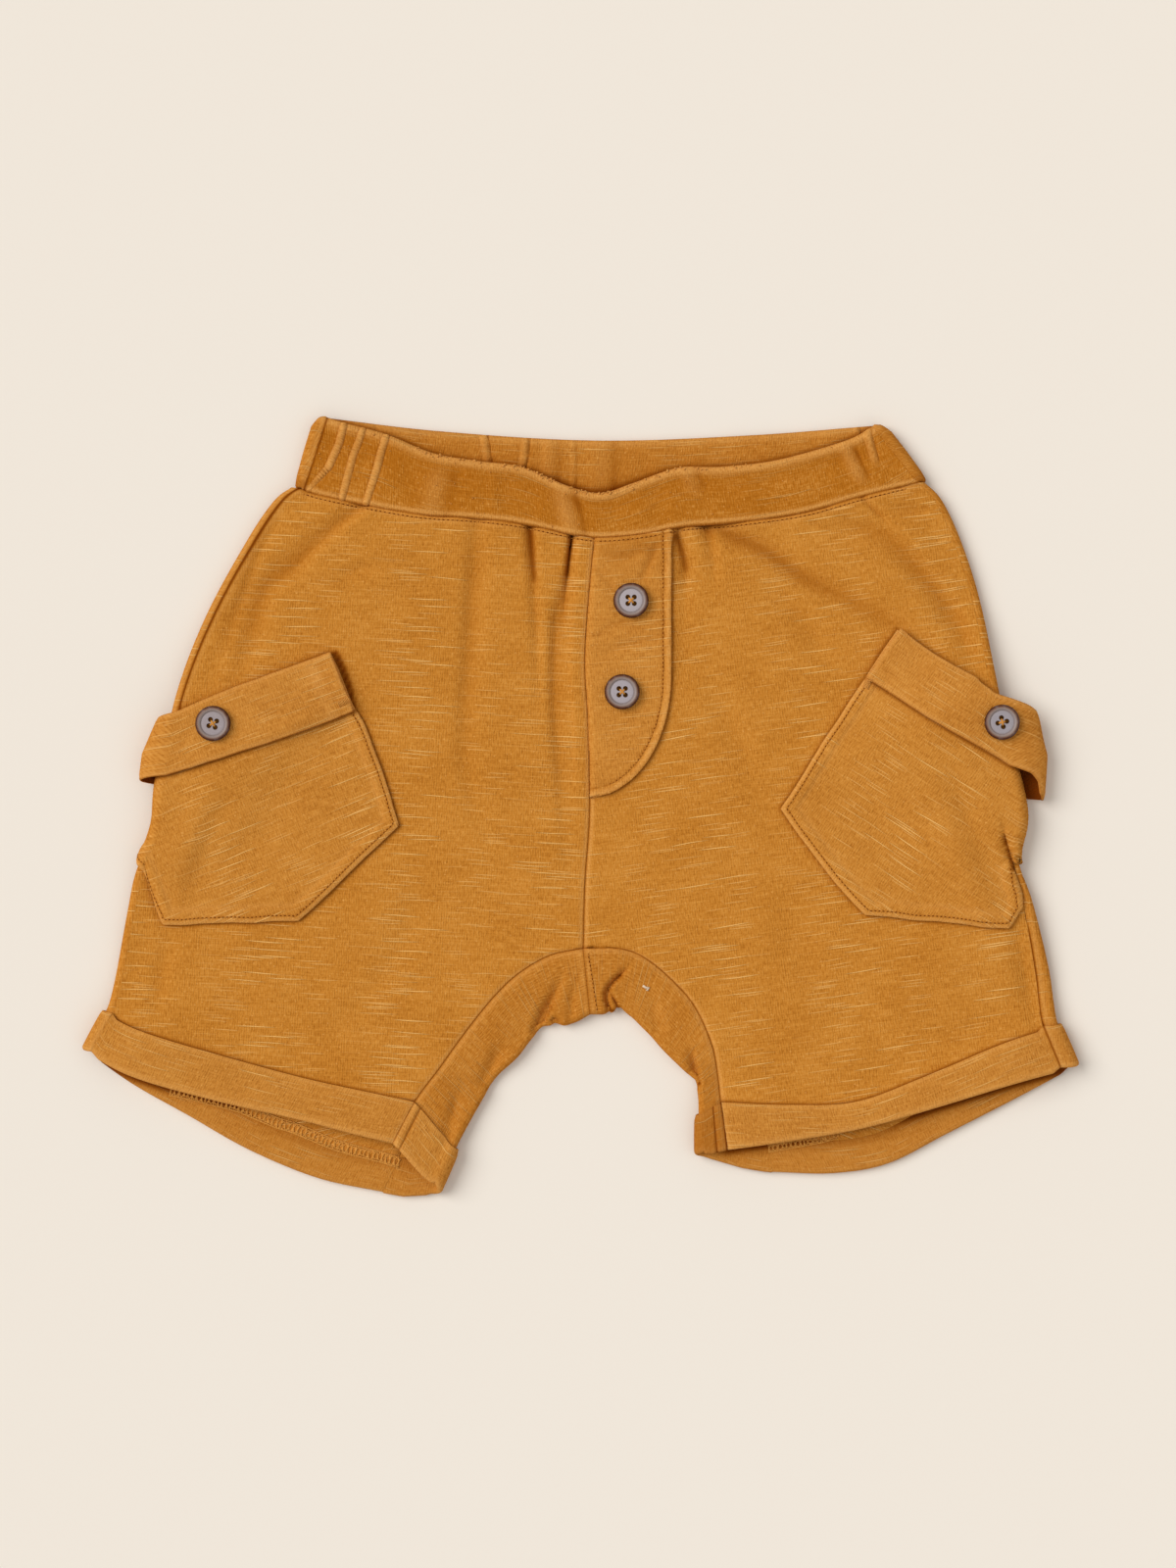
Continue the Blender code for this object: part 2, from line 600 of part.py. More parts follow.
def cuff_grid_back(side):
    """Rows of the back between the cuff's top edge and the hem, side seam to gusset."""
    hem = HEM_LINES[side]
    y = np.array([hem[0, 1], hem[0, 3]])
    fold = lip(side, y)
    gusset = smooth_rows(GUSSETS[side], 1, first=len(GUSSETS[side]) - 2)
    bottom = at_shares(hem[:, 4:6], BACK_SHARES)
    bottom[0], bottom[-1] = fold[1, -1, :2], gusset[1, 4:6]
    along = np.gradient(bottom, axis=0)
    up = np.stack([along[:, 1], -along[:, 0]], axis=1) / np.linalg.norm(along, axis=1, keepdims=True)
    up *= np.sign(up[:, 1:2])
    top = bottom + up * CUFF_DEPTH
    top[0], top[-1] = fold[0, -1, :2], gusset[0, 4:6]
    under = sheet_grid(np.stack([top, bottom])[:, 1:], back_height)
    return np.concatenate([fold, under], axis=1)


def turned_cuff(name, base, outward):
    """A cuff: the cloth runs on from the leg's seam to the hem, turns out and lies back over the leg.

    base holds the sheet's points from the cuff's top edge to its hem.
    """
    top, hem = base[0], base[-1]
    depth = np.linalg.norm(hem - top, axis=-1, keepdims=True)
    turn_radius = LAYER / 2
    last = 1 - (turn_radius + CLOTH / 2) / depth
    shares = [0.0, CUFF_OVERLAP, 0.65]
    rows = np.stack([top + (hem - top) * s for s in shares] + [top + (hem - top) * last])
    lift = grid_normals(rows, outward)
    down = (hem - top) / depth
    over = rows + lift * LAYER
    around = [
        rows[-1] + lift[-1] * turn_radius * (1 + math.cos(angle)) + down * turn_radius * math.sin(angle)
        for angle in np.linspace(0, math.pi, 5)[1:-1]
    ]
    cross = np.concatenate([over, np.stack(around), rows[:0:-1]])
    grid = trimmed(cross, first_column=SEAM_GAP, last_column=SEAM_GAP)
    wall(name, grid, CLOTH, outward)


def cuffs(side):
    sign = SIGN[side]
    front = sheet_grid(cuff_plan_front(side, FRONT_COLUMNS), front_height)
    turned_cuff(f"cuff_{side}_front", front, -sign)
    turned_cuff(f"cuff_{side}_back", cuff_grid_back(side), -sign)
    rows = smooth_rows(GUSSETS[side], 1, first=len(GUSSETS[side]) - 2)
    turned_cuff(f"cuff_{side}_inner", leg_sections(rows), sign)


def waist_columns():
    """Places across the waistband, closer together where it is gathered."""
    fine = {"left": (0.0, 2.2, 13), "middle": (2.2, 11.6, 19), "right": (11.6, 13.0, 7)}
    parts = [np.linspace(first, last, steps, endpoint=False) for first, last, steps in fine.values()]
    return np.concatenate([*parts, [len(WAIST_STATIONS) - 1.0]])


def waistband():
    """The front and the back of the waistband, joined at the sides just inside the folds."""
    table = np.asarray(WAIST_STATIONS, float)
    dense = smooth_rows(table, DENSE)
    places = waist_columns() / (len(table) - 1)
    stations = np.stack([np.interp(places, np.linspace(0, 1, DENSE + 1), c) for c in dense.T], axis=1)
    across = np.array(BAND_ROWS)
    plan = stations[None, :, 0:2] + (stations[:, 2:4] - stations[:, 0:2])[None] * across[:, None, None]
    height = np.full(plan.shape[:2], BAND_CLOTH / 2 + 2 * FOLD_RADIUS)
    ends = np.minimum(plan[..., 0] - plan[:, :1, 0], plan[:, -1:, 0] - plan[..., 0])
    height += 0.7 * fade(ends / 40.0)
    for top_x, seam_x, high, half_width in BAND_RIDGES:
        middle = top_x + (seam_x - top_x) * across[:, None]
        height += high * np.exp(-(((plan[..., 0] - middle) / half_width) ** 2)) * fade(ends / 4.0)
    thickness = np.array([1.1, 2.0, BAND_CLOTH, 2.1, 1.6])
    front = trimmed(
        np.dstack([plan, height]), last_row=SEAM_GAP / 2, first_column=SEAM_GAP / 2, last_column=SEAM_GAP / 2
    )
    wall("waistband_front", front, thickness, -1.0)

    top, seam = smooth_rows(BACK_WAIST_TOP, 16), smooth_rows(BACK_WAIST_SEAM, 16)
    plan = top[None] + (seam - top)[None] * across[:, None, None]
    under = np.dstack([plan, np.full(plan.shape[:2], BAND_CLOTH / 2)])
    sides = []
    for end, stations_end, sign in ((0, stations[0], -1.0), (-1, stations[-1], 1.0)):
        meeting = stations_end[0:2] + (stations_end[2:4] - stations_end[0:2]) * across[:, None]
        outline = under[:, end, :2]
        seam_points = np.column_stack([meeting, np.full(len(across), BAND_CLOTH / 2 + 2 * FOLD_RADIUS)])
        arc = [seam_points]
        for angle in np.linspace(0.0, math.pi, FOLD_STEPS + 1):
            reach = np.array(BAND_SWELL) - FOLD_RADIUS - thickness / 2
            x = outline[:, 0] + sign * (FOLD_RADIUS * math.sin(angle) + reach)
            z = np.full(len(across), BAND_CLOTH / 2 + FOLD_RADIUS * (1 + math.cos(angle)))
            arc.append(np.column_stack([x, outline[:, 1], z]))
        sides.append(np.stack(arc, axis=1))
    ring = np.concatenate([sides[0], under[:, 1:-1], sides[1][:, ::-1]], axis=1)
    ring = trimmed(ring, last_row=SEAM_GAP / 2, first_column=SEAM_GAP / 2, last_column=SEAM_GAP / 2)
    wall("waistband_back", ring, thickness, 1.0)


def cut(flat, lines):
    for point, normal in lines:
        everything = flat.verts[:] + flat.edges[:] + flat.faces[:]
        bmesh.ops.bisect_plane(
            flat, geom=everything, dist=0.02, plane_co=(*point, 0.0), plane_no=(*normal, 0.0)
        )


def shift_to_fold(flat, side, direction):
    for vert in flat.verts:
        vert.co.x += direction * float(fold_centre(side, vert.co.y))


def laid_piece(name, side, outline, lines, runs, lift, thickness, bulge=None, round_run=None):
    """A flat cut piece laid on the garment: cut into cells, then carried by the sheet.

    lines holds (point, normal) pairs, and runs holds distances past the outer fold's centre line, where
    the piece is cut along the fold. lift is from the middle of the sheet to the inner face.
    """
    flat = bmesh.new()
    flat.faces.new([flat.verts.new((x, y, 0.0)) for x, y in outline])
    cut(flat, lines)
    shift_to_fold(flat, side, -1.0)
    cut(flat, [((SIGN[side] * run, 0.0), (1.0, 0.0)) for run in runs])
    shift_to_fold(flat, side, 1.0)
    bmesh.ops.triangulate(flat, faces=flat.faces[:])
    flat.verts.index_update()
    plan = np.array([v.co[:2] for v in flat.verts])
    faces = [tuple(v.index for v in face.verts) for face in flat.faces]
    rim = [(e.verts[0].index, e.verts[1].index) for e in flat.edges if e.is_boundary]
    flat.free()
    points, normals = on_garment(side, plan[:, 0], plan[:, 1], round_run or math.pi * FOLD_RADIUS)
    if bulge is not None:
        outwards = np.clip(normals[:, 0] * SIGN[side], 0.0, 1.0)
        points[:, 0] += SIGN[side] * outwards * bulge(plan)
    outer, inner = points + normals * (lift + thickness), points + normals * lift
    count = len(plan)
    solid = faces + [tuple(count + k for k in reversed(face)) for face in faces]
    solid += [(a, b, count + b, count + a) for a, b in rim]
    return new_object(name, np.concatenate([outer, inner]), solid, "jersey")


def lattice(outline, start, step, normal):
    """Cutting lines a step apart across the outline."""
    normal = np.asarray(normal, float) / np.linalg.norm(normal)
    start = np.asarray(start, float) @ normal
    reach = outline @ normal
    first, last = math.ceil((reach.min() - start) / step), math.floor((reach.max() - start) / step)
    return [(normal * (start + k * step), normal) for k in range(first, last + 1)]


FOLD_RUNS = np.linspace(0.0, math.pi * FOLD_RADIUS, FOLD_STEPS + 1)


def pockets(side):
    """A patch pocket that goes round the side, and the turned-down band along its top."""
    corner, across, down = pocket_frame(side)
    outline = pocket_outline(side)
    runs = [*FOLD_RUNS, *(FOLD_RUNS[-1] + LATTICE * np.array([0.7, 1.5, 2.5]))]
    runs += list(-LATTICE * np.array([0.7, *range(2, 12)]))
    rows = lattice(outline, (0.0, 0.0), LATTICE, (0.0, 1.0))
    laid_piece(f"pocket_{side}", side, outline, rows, runs, CLOTH / 2 + LAY_GAP, CLOTH)

    outline = band_outline(side)
    cuts = lattice(outline, corner, LATTICE, across)[1:]
    cuts += [(corner + down * POCKET_BAND_DEPTH * share, down) for share in (0.25, 0.5, 0.75)]

    def bulge(plan):
        share = ((plan - corner) @ down) / POCKET_BAND_DEPTH
        return np.interp(share, (0.0, 0.5, 1.0), BAND_BULGES[side])

    round_run = FOLD_RUNS[-1] + BAND_EXTRA_RUN[side]
    runs = np.linspace(0.0, round_run, FOLD_STEPS + 2)
    lift = CLOTH / 2 + LAY_GAP + CLOTH + LAY_GAP
    name = f"pocket_band_{side}"
    laid_piece(name, side, outline, cuts, runs, lift, POCKET_BAND_CLOTH, bulge, round_run)


def fly_outline():
    """The mock fly: straight down beside the centre seam, then a quarter of an ellipse back to it."""
    centre = smooth_rows(CENTRE_FRONT, DENSE)
    clear = SEAM_GAP + 0.3
    top_y = np.interp(CENTRE_FRONT[0][0], FRONT_SEAM_LINE[:, 0], FRONT_SEAM_LINE[:, 1]) - clear
    bottom_y = top_y - FLY_LENGTH
    edge_y = np.linspace(bottom_y, top_y, 9)
    edge = [(np.interp(y, centre[::-1, 1], centre[::-1, 0]) + clear, y) for y in edge_y]
    left = np.interp(top_y - FLY_STRAIGHT, centre[::-1, 1], centre[::-1, 0]) + clear
    top = [(x, np.interp(x, FRONT_SEAM_LINE[:, 0], FRONT_SEAM_LINE[:, 1]) - clear) for x in left + FLY_WIDTH * np.linspace(0.34, 1, 3)]
    curve = []
    for angle in np.radians(np.linspace(0, 84, 8)):
        y = top_y - FLY_STRAIGHT - (FLY_LENGTH - FLY_STRAIGHT) * math.sin(angle)
        curve.append((left + FLY_WIDTH * math.cos(angle), y))
    return np.array(edge + top + curve)


def fly():
    outline = fly_outline()
    lines = lattice(outline, (0.0, 0.0), LATTICE, (0.0, 1.0))
    lines += lattice(outline, (outline[:, 0].min() + 6.5, 0.0), 6.5, (1.0, 0.0))
    laid_piece("fly", "right", outline, lines, (), CLOTH / 2 + LAY_GAP, CLOTH)


def button_mesh():
    """A turned button with a dished face and four thread holes."""
    shape = bmesh.new()
    profile = [shape.verts.new((r * MM, 0.0, z * MM)) for r, z in BUTTON_PROFILE]
    edges = [shape.edges.new(pair) for pair in zip(profile, profile[1:])]
    bmesh.ops.spin(
        shape, geom=profile + edges, cent=(0, 0, 0), axis=(0, 0, 1), angle=2 * math.pi, steps=BUTTON_SIDES
    )
    bmesh.ops.remove_doubles(shape, verts=shape.verts, dist=0.01 * MM)
    bmesh.ops.recalc_face_normals(shape, faces=shape.faces)
    blank_mesh = bpy.data.meshes.new("button_blank")
    shape.to_mesh(blank_mesh)
    shape.free()
    holes = bmesh.new()
    for x in (-BUTTON_HOLE_OFFSET, BUTTON_HOLE_OFFSET):
        for y in (-BUTTON_HOLE_OFFSET, BUTTON_HOLE_OFFSET):
            bmesh.ops.create_cone(
                holes,
                cap_ends=True,
                segments=8,
                radius1=BUTTON_HOLE_RADIUS * MM,
                radius2=BUTTON_HOLE_RADIUS * MM,
                depth=8 * MM,
                matrix=Matrix.Translation((x * MM, y * MM, 0.0)),
            )
    hole_mesh = bpy.data.meshes.new("button_holes")
    holes.to_mesh(hole_mesh)
    holes.free()
    blank = bpy.data.objects.new("button_blank", blank_mesh)
    cutter = bpy.data.objects.new("button_holes", hole_mesh)
    for made in (blank, cutter):
        bpy.context.scene.collection.objects.link(made)
    drill = blank.modifiers.new("drill", "BOOLEAN")
    drill.operation = "DIFFERENCE"
    drill.object = cutter
    graph = bpy.context.evaluated_depsgraph_get()
    drilled = bpy.data.meshes.new_from_object(blank.evaluated_get(graph))
    bpy.data.objects.remove(blank)
    bpy.data.objects.remove(cutter)
    drilled.materials.clear()
    drilled.materials.append(material("button"))
    drilled.shade_smooth()
    drilled.set_sharp_from_angle(angle=math.radians(35))
    return drilled


def buttons():
    """Each button sits just clear of the highest cloth under it."""
    mesh = button_mesh()
    face = CLOTH / 2 + LAY_GAP + CLOTH
    stacks = {"fly": face, "band": face + LAY_GAP + POCKET_BAND_CLOTH}
    turns = np.linspace(0, 2 * math.pi, 12, endpoint=False)
    for name, x, y, turn_deg, side, stack in BUTTONS:
        under_x = np.append(x + BUTTON_RADIUS * np.cos(turns), x)
        under_y = np.append(y + BUTTON_RADIUS * np.sin(turns), y)
        points, normals = on_garment(side, under_x, under_y)
        highest = (points[:, 2] + normals[:, 2] * stacks[stack]).max()
        button = bpy.data.objects.new(name, mesh)
        button.location = (x * MM, y * MM, (highest + 0.3) * MM)
        button.rotation_euler.z = math.radians(turn_deg)
        bpy.context.scene.collection.objects.link(button)


def main():
    for old in list(bpy.data.objects):
        bpy.data.objects.remove(old)
    waistband()
    for side in SIGN:
        panels(side)
        cuffs(side)
        pockets(side)
    fly()
    buttons()


main()
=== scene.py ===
import math

import bpy
import numpy as np
from mathutils.bvhtree import BVHTree
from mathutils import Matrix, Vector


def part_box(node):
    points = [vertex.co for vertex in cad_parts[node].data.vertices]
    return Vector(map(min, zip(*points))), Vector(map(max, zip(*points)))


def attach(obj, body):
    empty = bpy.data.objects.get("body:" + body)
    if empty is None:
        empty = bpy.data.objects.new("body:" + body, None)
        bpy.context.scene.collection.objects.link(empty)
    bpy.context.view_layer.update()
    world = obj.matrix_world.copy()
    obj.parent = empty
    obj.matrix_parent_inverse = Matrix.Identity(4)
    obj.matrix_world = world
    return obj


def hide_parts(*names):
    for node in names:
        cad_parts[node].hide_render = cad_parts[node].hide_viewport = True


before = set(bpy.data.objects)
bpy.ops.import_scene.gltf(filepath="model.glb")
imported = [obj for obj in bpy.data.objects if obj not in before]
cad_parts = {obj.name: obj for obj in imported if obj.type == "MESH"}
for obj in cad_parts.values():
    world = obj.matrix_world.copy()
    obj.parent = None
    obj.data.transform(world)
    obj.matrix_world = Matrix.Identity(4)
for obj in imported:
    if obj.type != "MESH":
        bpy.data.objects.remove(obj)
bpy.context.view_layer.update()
mm = 0.001

# Sizes are in millimetres unless a note says otherwise. +X is right, +Y is towards the waist, +Z is up.
# Left and right are as seen from above, and pixels are those of the photograph.

lie = {
    "cloth": 1.0,  # one layer of jersey
    "bandCloth": 2.2,
    "pocketBandCloth": 1.4,
    "layGap": 0.4,  # air between two layers that lie on each other
    "foldRadius": 1.6,
    "loft": 1.0,  # how much the front rises inside its edges, and over what run
    "loftRun": 16.0,
    "easeRun": 7.0,  # the front's folds fade in over this run
    "tuckLimit": 1.9,
    "liftMargin": 3.5,  # the back lies higher over what wraps under it, and comes down over the run
    "liftRun": 26.0,
    "cuffLiftRun": 14.0,
    "cuffDepth": 15.5,
    "cuffOverlap": 0.3,  # share of a cuff's depth that its panel runs on under it
    "photoScale": 0.32,  # mm for a pixel
    "photoCentre": (592.0, 822.0),
}
layer = lie["cloth"] + lie["layGap"]
foldRadius = lie["foldRadius"]
foldReach = foldRadius + lie["cloth"] / 2
halfTurn = math.pi * foldRadius
signOf = {"left": -1.0, "right": 1.0}

# The waistband from left to right: top_x, top_y of its rolled edge, then x and y of its seam.
waistStations = (
    (-82.8, 126.5, -90.2, 103.1),
    (-76.6, 124.6, -84.6, 101.4),
    (-63.5, 121.0, -70.0, 98.3),
    (-48.3, 114.9, -51.8, 95.2),
    (-33.7, 112.3, -34.0, 94.0),
    (-19.0, 110.3, -18.0, 92.0),
    (-4.3, 104.2, -3.6, 88.9),
    (6.7, 101.8, 6.7, 87.6),
    (17.3, 105.0, 20.9, 88.8),
    (32.0, 110.0, 34.1, 91.3),
    (46.7, 110.4, 50.3, 92.6),
    (65.0, 112.7, 72.3, 95.7),
    (87.0, 119.0, 91.5, 101.0),
    (95.8, 123.6, 110.2, 105.7),
)
backWaistTop = ((-85.6, 126.9), (-45.4, 122.2), (5.8, 119.2), (57.0, 121.0), (98.6, 124.3))
backWaistSeam = ((-93.4, 104.2), (-45.0, 98.6), (2.6, 97.3), (55.0, 99.2), (113.4, 106.2))
centreFront = ((4.6, 87.5), (2.9, 69.1), (1.5, 47.0), (2.6, 26.2), (3.1, -2.0), (1.6, -25.0), (1.0, -46.7))

# Outer folds from waist to hem: x, y of the outline, and how far in the side seam shows.
outerFolds = {
    "left": (
        (-94.8, 103.8, 2.6),
        (-100.5, 99.4, 2.8),
        (-109.0, 87.0, 2.8),
        (-122.9, 61.4, 2.8),
        (-132.2, 35.8, 2.6),
        (-137.8, 8.0, 2.6),
        (-139.4, -7.0, 2.6),
        (-145.4, -21.8, 2.6),
        (-148.2, -34.6, 2.6),
        (-152.6, -58.0, 2.6),
        (-155.4, -67.8, 2.6),
        (-162.2, -80.4, 2.6),
    ),
    "right": (
        (112.8, 105.6, 2.6),
        (118.6, 99.6, 2.6),
        (124.6, 87.0, 2.6),
        (130.8, 67.8, 2.6),
        (135.9, 42.2, 2.6),
        (140.4, 19.8, 2.6),
        (145.2, -2.6, 2.6),
        (143.2, -17.0, 2.8),
        (148.0, -31.4, 3.4),
        (153.6, -53.8, 4.8),
        (156.4, -72.0, 5.2),
        (162.4, -85.6, 5.6),
    ),
}

# Inner-leg band from crotch to hem: front seam, fold and back seam.
innerLegs = {
    "left": (
        (1.0, -46.7, 3.2, -68.5, 1.4, -50.6),
        (-9.9, -49.0, -3.0, -71.8, -9.0, -53.0),
        (-20.2, -55.0, -10.4, -72.8, -19.5, -59.0),
        (-27.5, -61.8, -15.5, -76.2, -27.0, -66.0),
        (-33.6, -69.1, -20.2, -82.2, -34.0, -73.5),
        (-40.0, -77.5, -27.5, -89.6, -40.5, -83.0),
        (-46.1, -86.1, -33.5, -99.0, -48.0, -94.0),
        (-54.1, -96.9, -40.8, -112.6, -57.0, -110.5),
        (-61.1, -110.4, -46.8, -126.6, -64.6, -126.8),
    ),
    "right": (
        (1.0, -46.7, 3.2, -68.5, 1.4, -50.6),
        (12.2, -46.7, 9.9, -68.5, 12.0, -51.0),
        (20.2, -49.3, 15.4, -68.5, 21.0, -54.5),
        (28.8, -56.0, 21.0, -73.5, 30.0, -62.0),
        (37.1, -65.3, 27.5, -80.6, 39.0, -73.0),
        (42.9, -77.8, 34.0, -87.2, 48.0, -86.0),
        (44.8, -87.4, 38.1, -93.4, 54.0, -95.0),
        (45.8, -96.9, 38.8, -101.6, 60.5, -104.0),
        (48.0, -112.6, 38.6, -115.0, 63.0, -120.2),
    ),
}

# Hems from outer fold to inner leg: the cuff's top edge, the front hem and the longer back hem.
hems = {
    "left": (
        (-155.4, -67.8, -162.2, -80.4, -162.2, -80.4),
        (-144.0, -73.4, -146.2, -88.6, -147.0, -91.2),
        (-121.0, -80.6, -121.0, -96.0, -128.6, -101.6),
        (-91.8, -88.8, -92.0, -102.7, -108.4, -113.0),
        (-70.0, -93.6, -74.0, -107.4, -86.0, -122.2),
        (-54.1, -96.9, -61.1, -110.4, -64.6, -126.8),
    ),
    "right": (
        (156.4, -72.0, 162.4, -85.6, 162.4, -85.6),
        (137.9, -77.8, 142.4, -90.8, 143.0, -96.0),
        (111.4, -89.0, 115.8, -98.9, 120.0, -107.8),
        (89.6, -96.9, 92.0, -105.6, 101.0, -117.4),
        (67.5, -97.8, 69.0, -109.6, 83.0, -120.6),
        (45.8, -96.9, 48.0, -112.6, 63.0, -120.2),
    ),
}

# Folds of the front. Each has its half widths on the left and the right of its run, then its
# points: x and y as pixels of the photograph, and depth. A negative depth is a ridge.
frontFolds = (
    (5.5, 5.5, ((330, 540, 0.2), (300, 570, 0.9), (267, 604, 1.2), (253, 653, 0.9), (240, 693, 0.3))),
    (2.2, 3.6, ((374, 512, 1.1), (352, 530, 0.9), (322, 556, 0.6), (292, 590, 0.2))),
    (2.6, 3.4, ((340, 590, 0.1), (366, 581, 0.6), (396, 578, 0.1))),
    (5.0, 3.0, ((487, 524, 0.5), (481, 600, 0.9), (477, 680, 0.8), (473, 747, 0.6), (480, 813, 0.4), (500, 860, 0.1))),
    (2.0, 2.2, ((540, 528, 1.6), (542, 560, 1.4), (545, 600, 0.8), (548, 660, 0.5), (550, 730, 0.1))),
    (4.6, 2.2, ((577, 590, 0.5), (567, 640, 1.0), (566, 720, 0.9), (572, 800, 0.5), (578, 880, 0.1))),
    (1.5, 1.1, ((584, 536, 2.0), (581, 565, 1.8), (577, 600, 0.8), (574, 640, 0.1))),
    (3.0, 4.5, ((287, 512, 0.4), (262, 560, 0.8), (244, 610, 0.7), (228, 660, 0.4), (214, 700, 0.2))),
    (4.6, 4.0, (
        (718, 532, 0.9), (745, 546, 1.4), (777, 560, 1.4), (823, 590, 1.3), (865, 611, 1.1), (905, 632, 0.9),
        (940, 652, 0.3),
    )),
    (5.0, 5.0, ((770, 580, 0.1), (820, 633, 0.6), (847, 680, 0.1))),
    (4.6, 5.0, ((836, 533, 0.3), (900, 545, 1.0), (947, 593, 1.1), (980, 640, 0.9), (1002, 687, 0.4))),
    (3.6, 1.4, ((690, 545, 1.2), (697, 575, 1.0), (697, 615, 0.35), (694, 690, 0.1))),
    (1.8, 2.6, ((719, 532, 1.0), (727, 560, 0.8), (731, 594, 0.2))),
    (1.2, 1.0, ((880, 507, 0.5), (893, 520, 0.9), (903, 529, 0.6), (908, 535, 0.1))),
    (2.4, 2.4, ((903, 517, 0.2), (930, 521, 0.6), (962, 518, 0.2))),
    (5.0, 5.0, ((720, 690, 0.1), (750, 750, 0.5), (775, 818, 0.1))),
    (4.0, 4.0, ((1040, 950, 0.4), (1050, 1000, 0.6), (1060, 1044, 0.3))),
    (4.0, 4.0, ((176, 950, 0.1), (166, 985, 0.6), (158, 1030, 0.3))),
    (5.5, 5.5, ((968, 775, 0.1), (985, 830, 0.7), (1005, 880, 0.6), (1026, 915, 0.2))),
    (5.0, 5.0, ((240, 800, 0.1), (214, 850, 0.7), (196, 900, 0.3))),
    (6.0, 6.0, ((430, 900, 0.1), (400, 980, 0.4), (340, 1060, 0.2))),
    (6.0, 6.0, ((800, 900, 0.1), (820, 980, 0.4), (900, 1060, 0.2))),
)
foldScale = 1.5

# Tucks of the inner-leg band beside the crotch, given as the front's folds are.
legFolds = (
    (0.7, 1.5, ((642, 988, 0.2), (631, 998, 1.6), (621, 1010, 2.3), (620, 1021, 2.3), (624, 1034, 1.9))),
    (0.8, 0.9, ((622, 1013, 0.6), (627, 1021, 1.5), (633, 1030, 1.4))),
    (1.3, 2.6, ((575, 994, 0.2), (567, 1014, 0.9), (558, 1032, 2.0), (550, 1052, 2.8))),
    (1.1, 1.1, ((559, 1046, 0.8), (566, 1041, 1.9), (572, 1045, 0.6))),
    (1.1, 2.6, ((705, 1068, 0.1), (709, 1085, 1.4), (713, 1106, 2.4))),
    (3.0, 3.0, ((512, 1062, 0.1), (505, 1082, 0.9), (494, 1104, 0.8))),
    (3.0, 3.0, ((664, 1010, 0.1), (668, 1030, 0.5), (672, 1052, 0.4))),
    (2.6, 2.6, ((470, 1110, 0.1), (462, 1135, 0.8), (456, 1160, 0.5))),
    (2.0, 2.0, ((588, 1000, 0.1), (584, 1020, 0.5), (582, 1040, 0.4))),
)
legShades = (  # the darkest hollows of those tucks: how dark, reach in mm, then pixels
    (0.95, 0.55, ((634, 996), (626, 1004), (621, 1012), (620, 1022), (624, 1031))),
    (0.7, 0.45, ((622, 1013), (627, 1020), (632, 1028))),
    (0.9, 0.8, ((562, 1028), (556, 1040), (551, 1051))),
    (0.8, 0.5, ((561, 1046), (567, 1042), (572, 1045))),
    (0.95, 0.65, ((707, 1082), (710, 1094), (714, 1107))),
)
legNotches = ((631, 1036, 2.0, 2.0), (566, 1049, 0.5, 1.6), (712, 1108, 0.7, 2.2))  # pixels, depth, half width

# Tucks that reach the outer folds, given as the front's folds are.
sideTucks = (
    (2.4, 1.0, (
        (1020, 836, 0.1), (1025, 858, 0.9), (1030, 876, 1.2), (1035, 892, 0.9), (1042, 912, 0.6), (1046, 930, 0.2),
    )),
    (1.8, 1.8, ((166, 945, 0.3), (158, 920, 0.6), (150, 890, 0.5), (146, 868, 0.2))),
)

# The fall of cloth at the waist seam and the strip beside the centre seam.
panelEdges = {
    "seamDip": 0.5,
    "seamRun": 1.1,
    "pucker": (0.22, 4.2, 3.6),  # height, length and reach beside the seam
    "stripWidth": 5.6,
    "stripEdge": 1.6,
    "stripRise": 0.6,
    "stripEndY": -2.0,
    "stripFade": 22.0,
}
panelWaves = ((34.0, 0.32, 11), (13.0, 0.17, 12), (5.0, 0.05, 13))  # size, height, seed

pocketPlans = {  # inner top corner, turn below level, length of inner and outer side, point
    "left": (-81.5, 50.1, 21.4, 60.5, 63.0, 16.0),
    "right": (103.4, 57.0, 32.9, 69.0, 61.7, 18.0),
}
pocketWidth = 83.2
pocketBandDepth = 20.5
bandInset, bandBelow = 0.3, 0.2  # how far a band keeps in from the pocket's sides and from its top edge
bandDepths = {  # where along the band, and how deep it is there
    "left": ((0.0, 40.0, 55.0, 67.0, 83.2), (20.4, 19.4, 18.7, 17.4, 17.4)),
    "right": (
        (0.0, 23.0, 40.0, 53.0, 59.5, 63.0, 66.5, 70.0, 76.0, 83.2),
        (18.2, 18.3, 17.7, 17.0, 16.6, 17.7, 20.1, 20.4, 16.0, 14.0),
    ),
}
bandBulges = {"left": (0.8, 3.6, 3.2), "right": (8.0, 8.2, 3.8)}  # past the side fold at its top, middle and bottom
bandExtraRun = {"left": 4.0, "right": 12.0}


def fromPhoto(rows):
    # rows that start with x and y as pixels
    table = np.array(rows, float)
    table[:, 0] = (table[:, 0] - lie["photoCentre"][0]) * lie["photoScale"]
    table[:, 1] = (lie["photoCentre"][1] - table[:, 1]) * lie["photoScale"]
    return table


def smoothRows(rows, steps, first=0.0, last=None):
    # evenly by row number on the smooth curve through the rows
    knots = np.asarray(rows, float)
    last = len(knots) - 1 if last is None else last
    ends = np.vstack([2 * knots[0] - knots[1], knots, 2 * knots[-1] - knots[-2]])
    places = np.linspace(first, last, steps + 1)
    start = np.minimum(places.astype(int), len(knots) - 2)
    t = (places - start)[:, None]
    before, here, there, after = (ends[start + k] for k in range(4))
    return 0.5 * (
        2 * here
        + (there - before) * t
        + (2 * before - 5 * here + 4 * there - after) * t**2
        + (3 * here - before - 3 * there + after) * t**3
    )


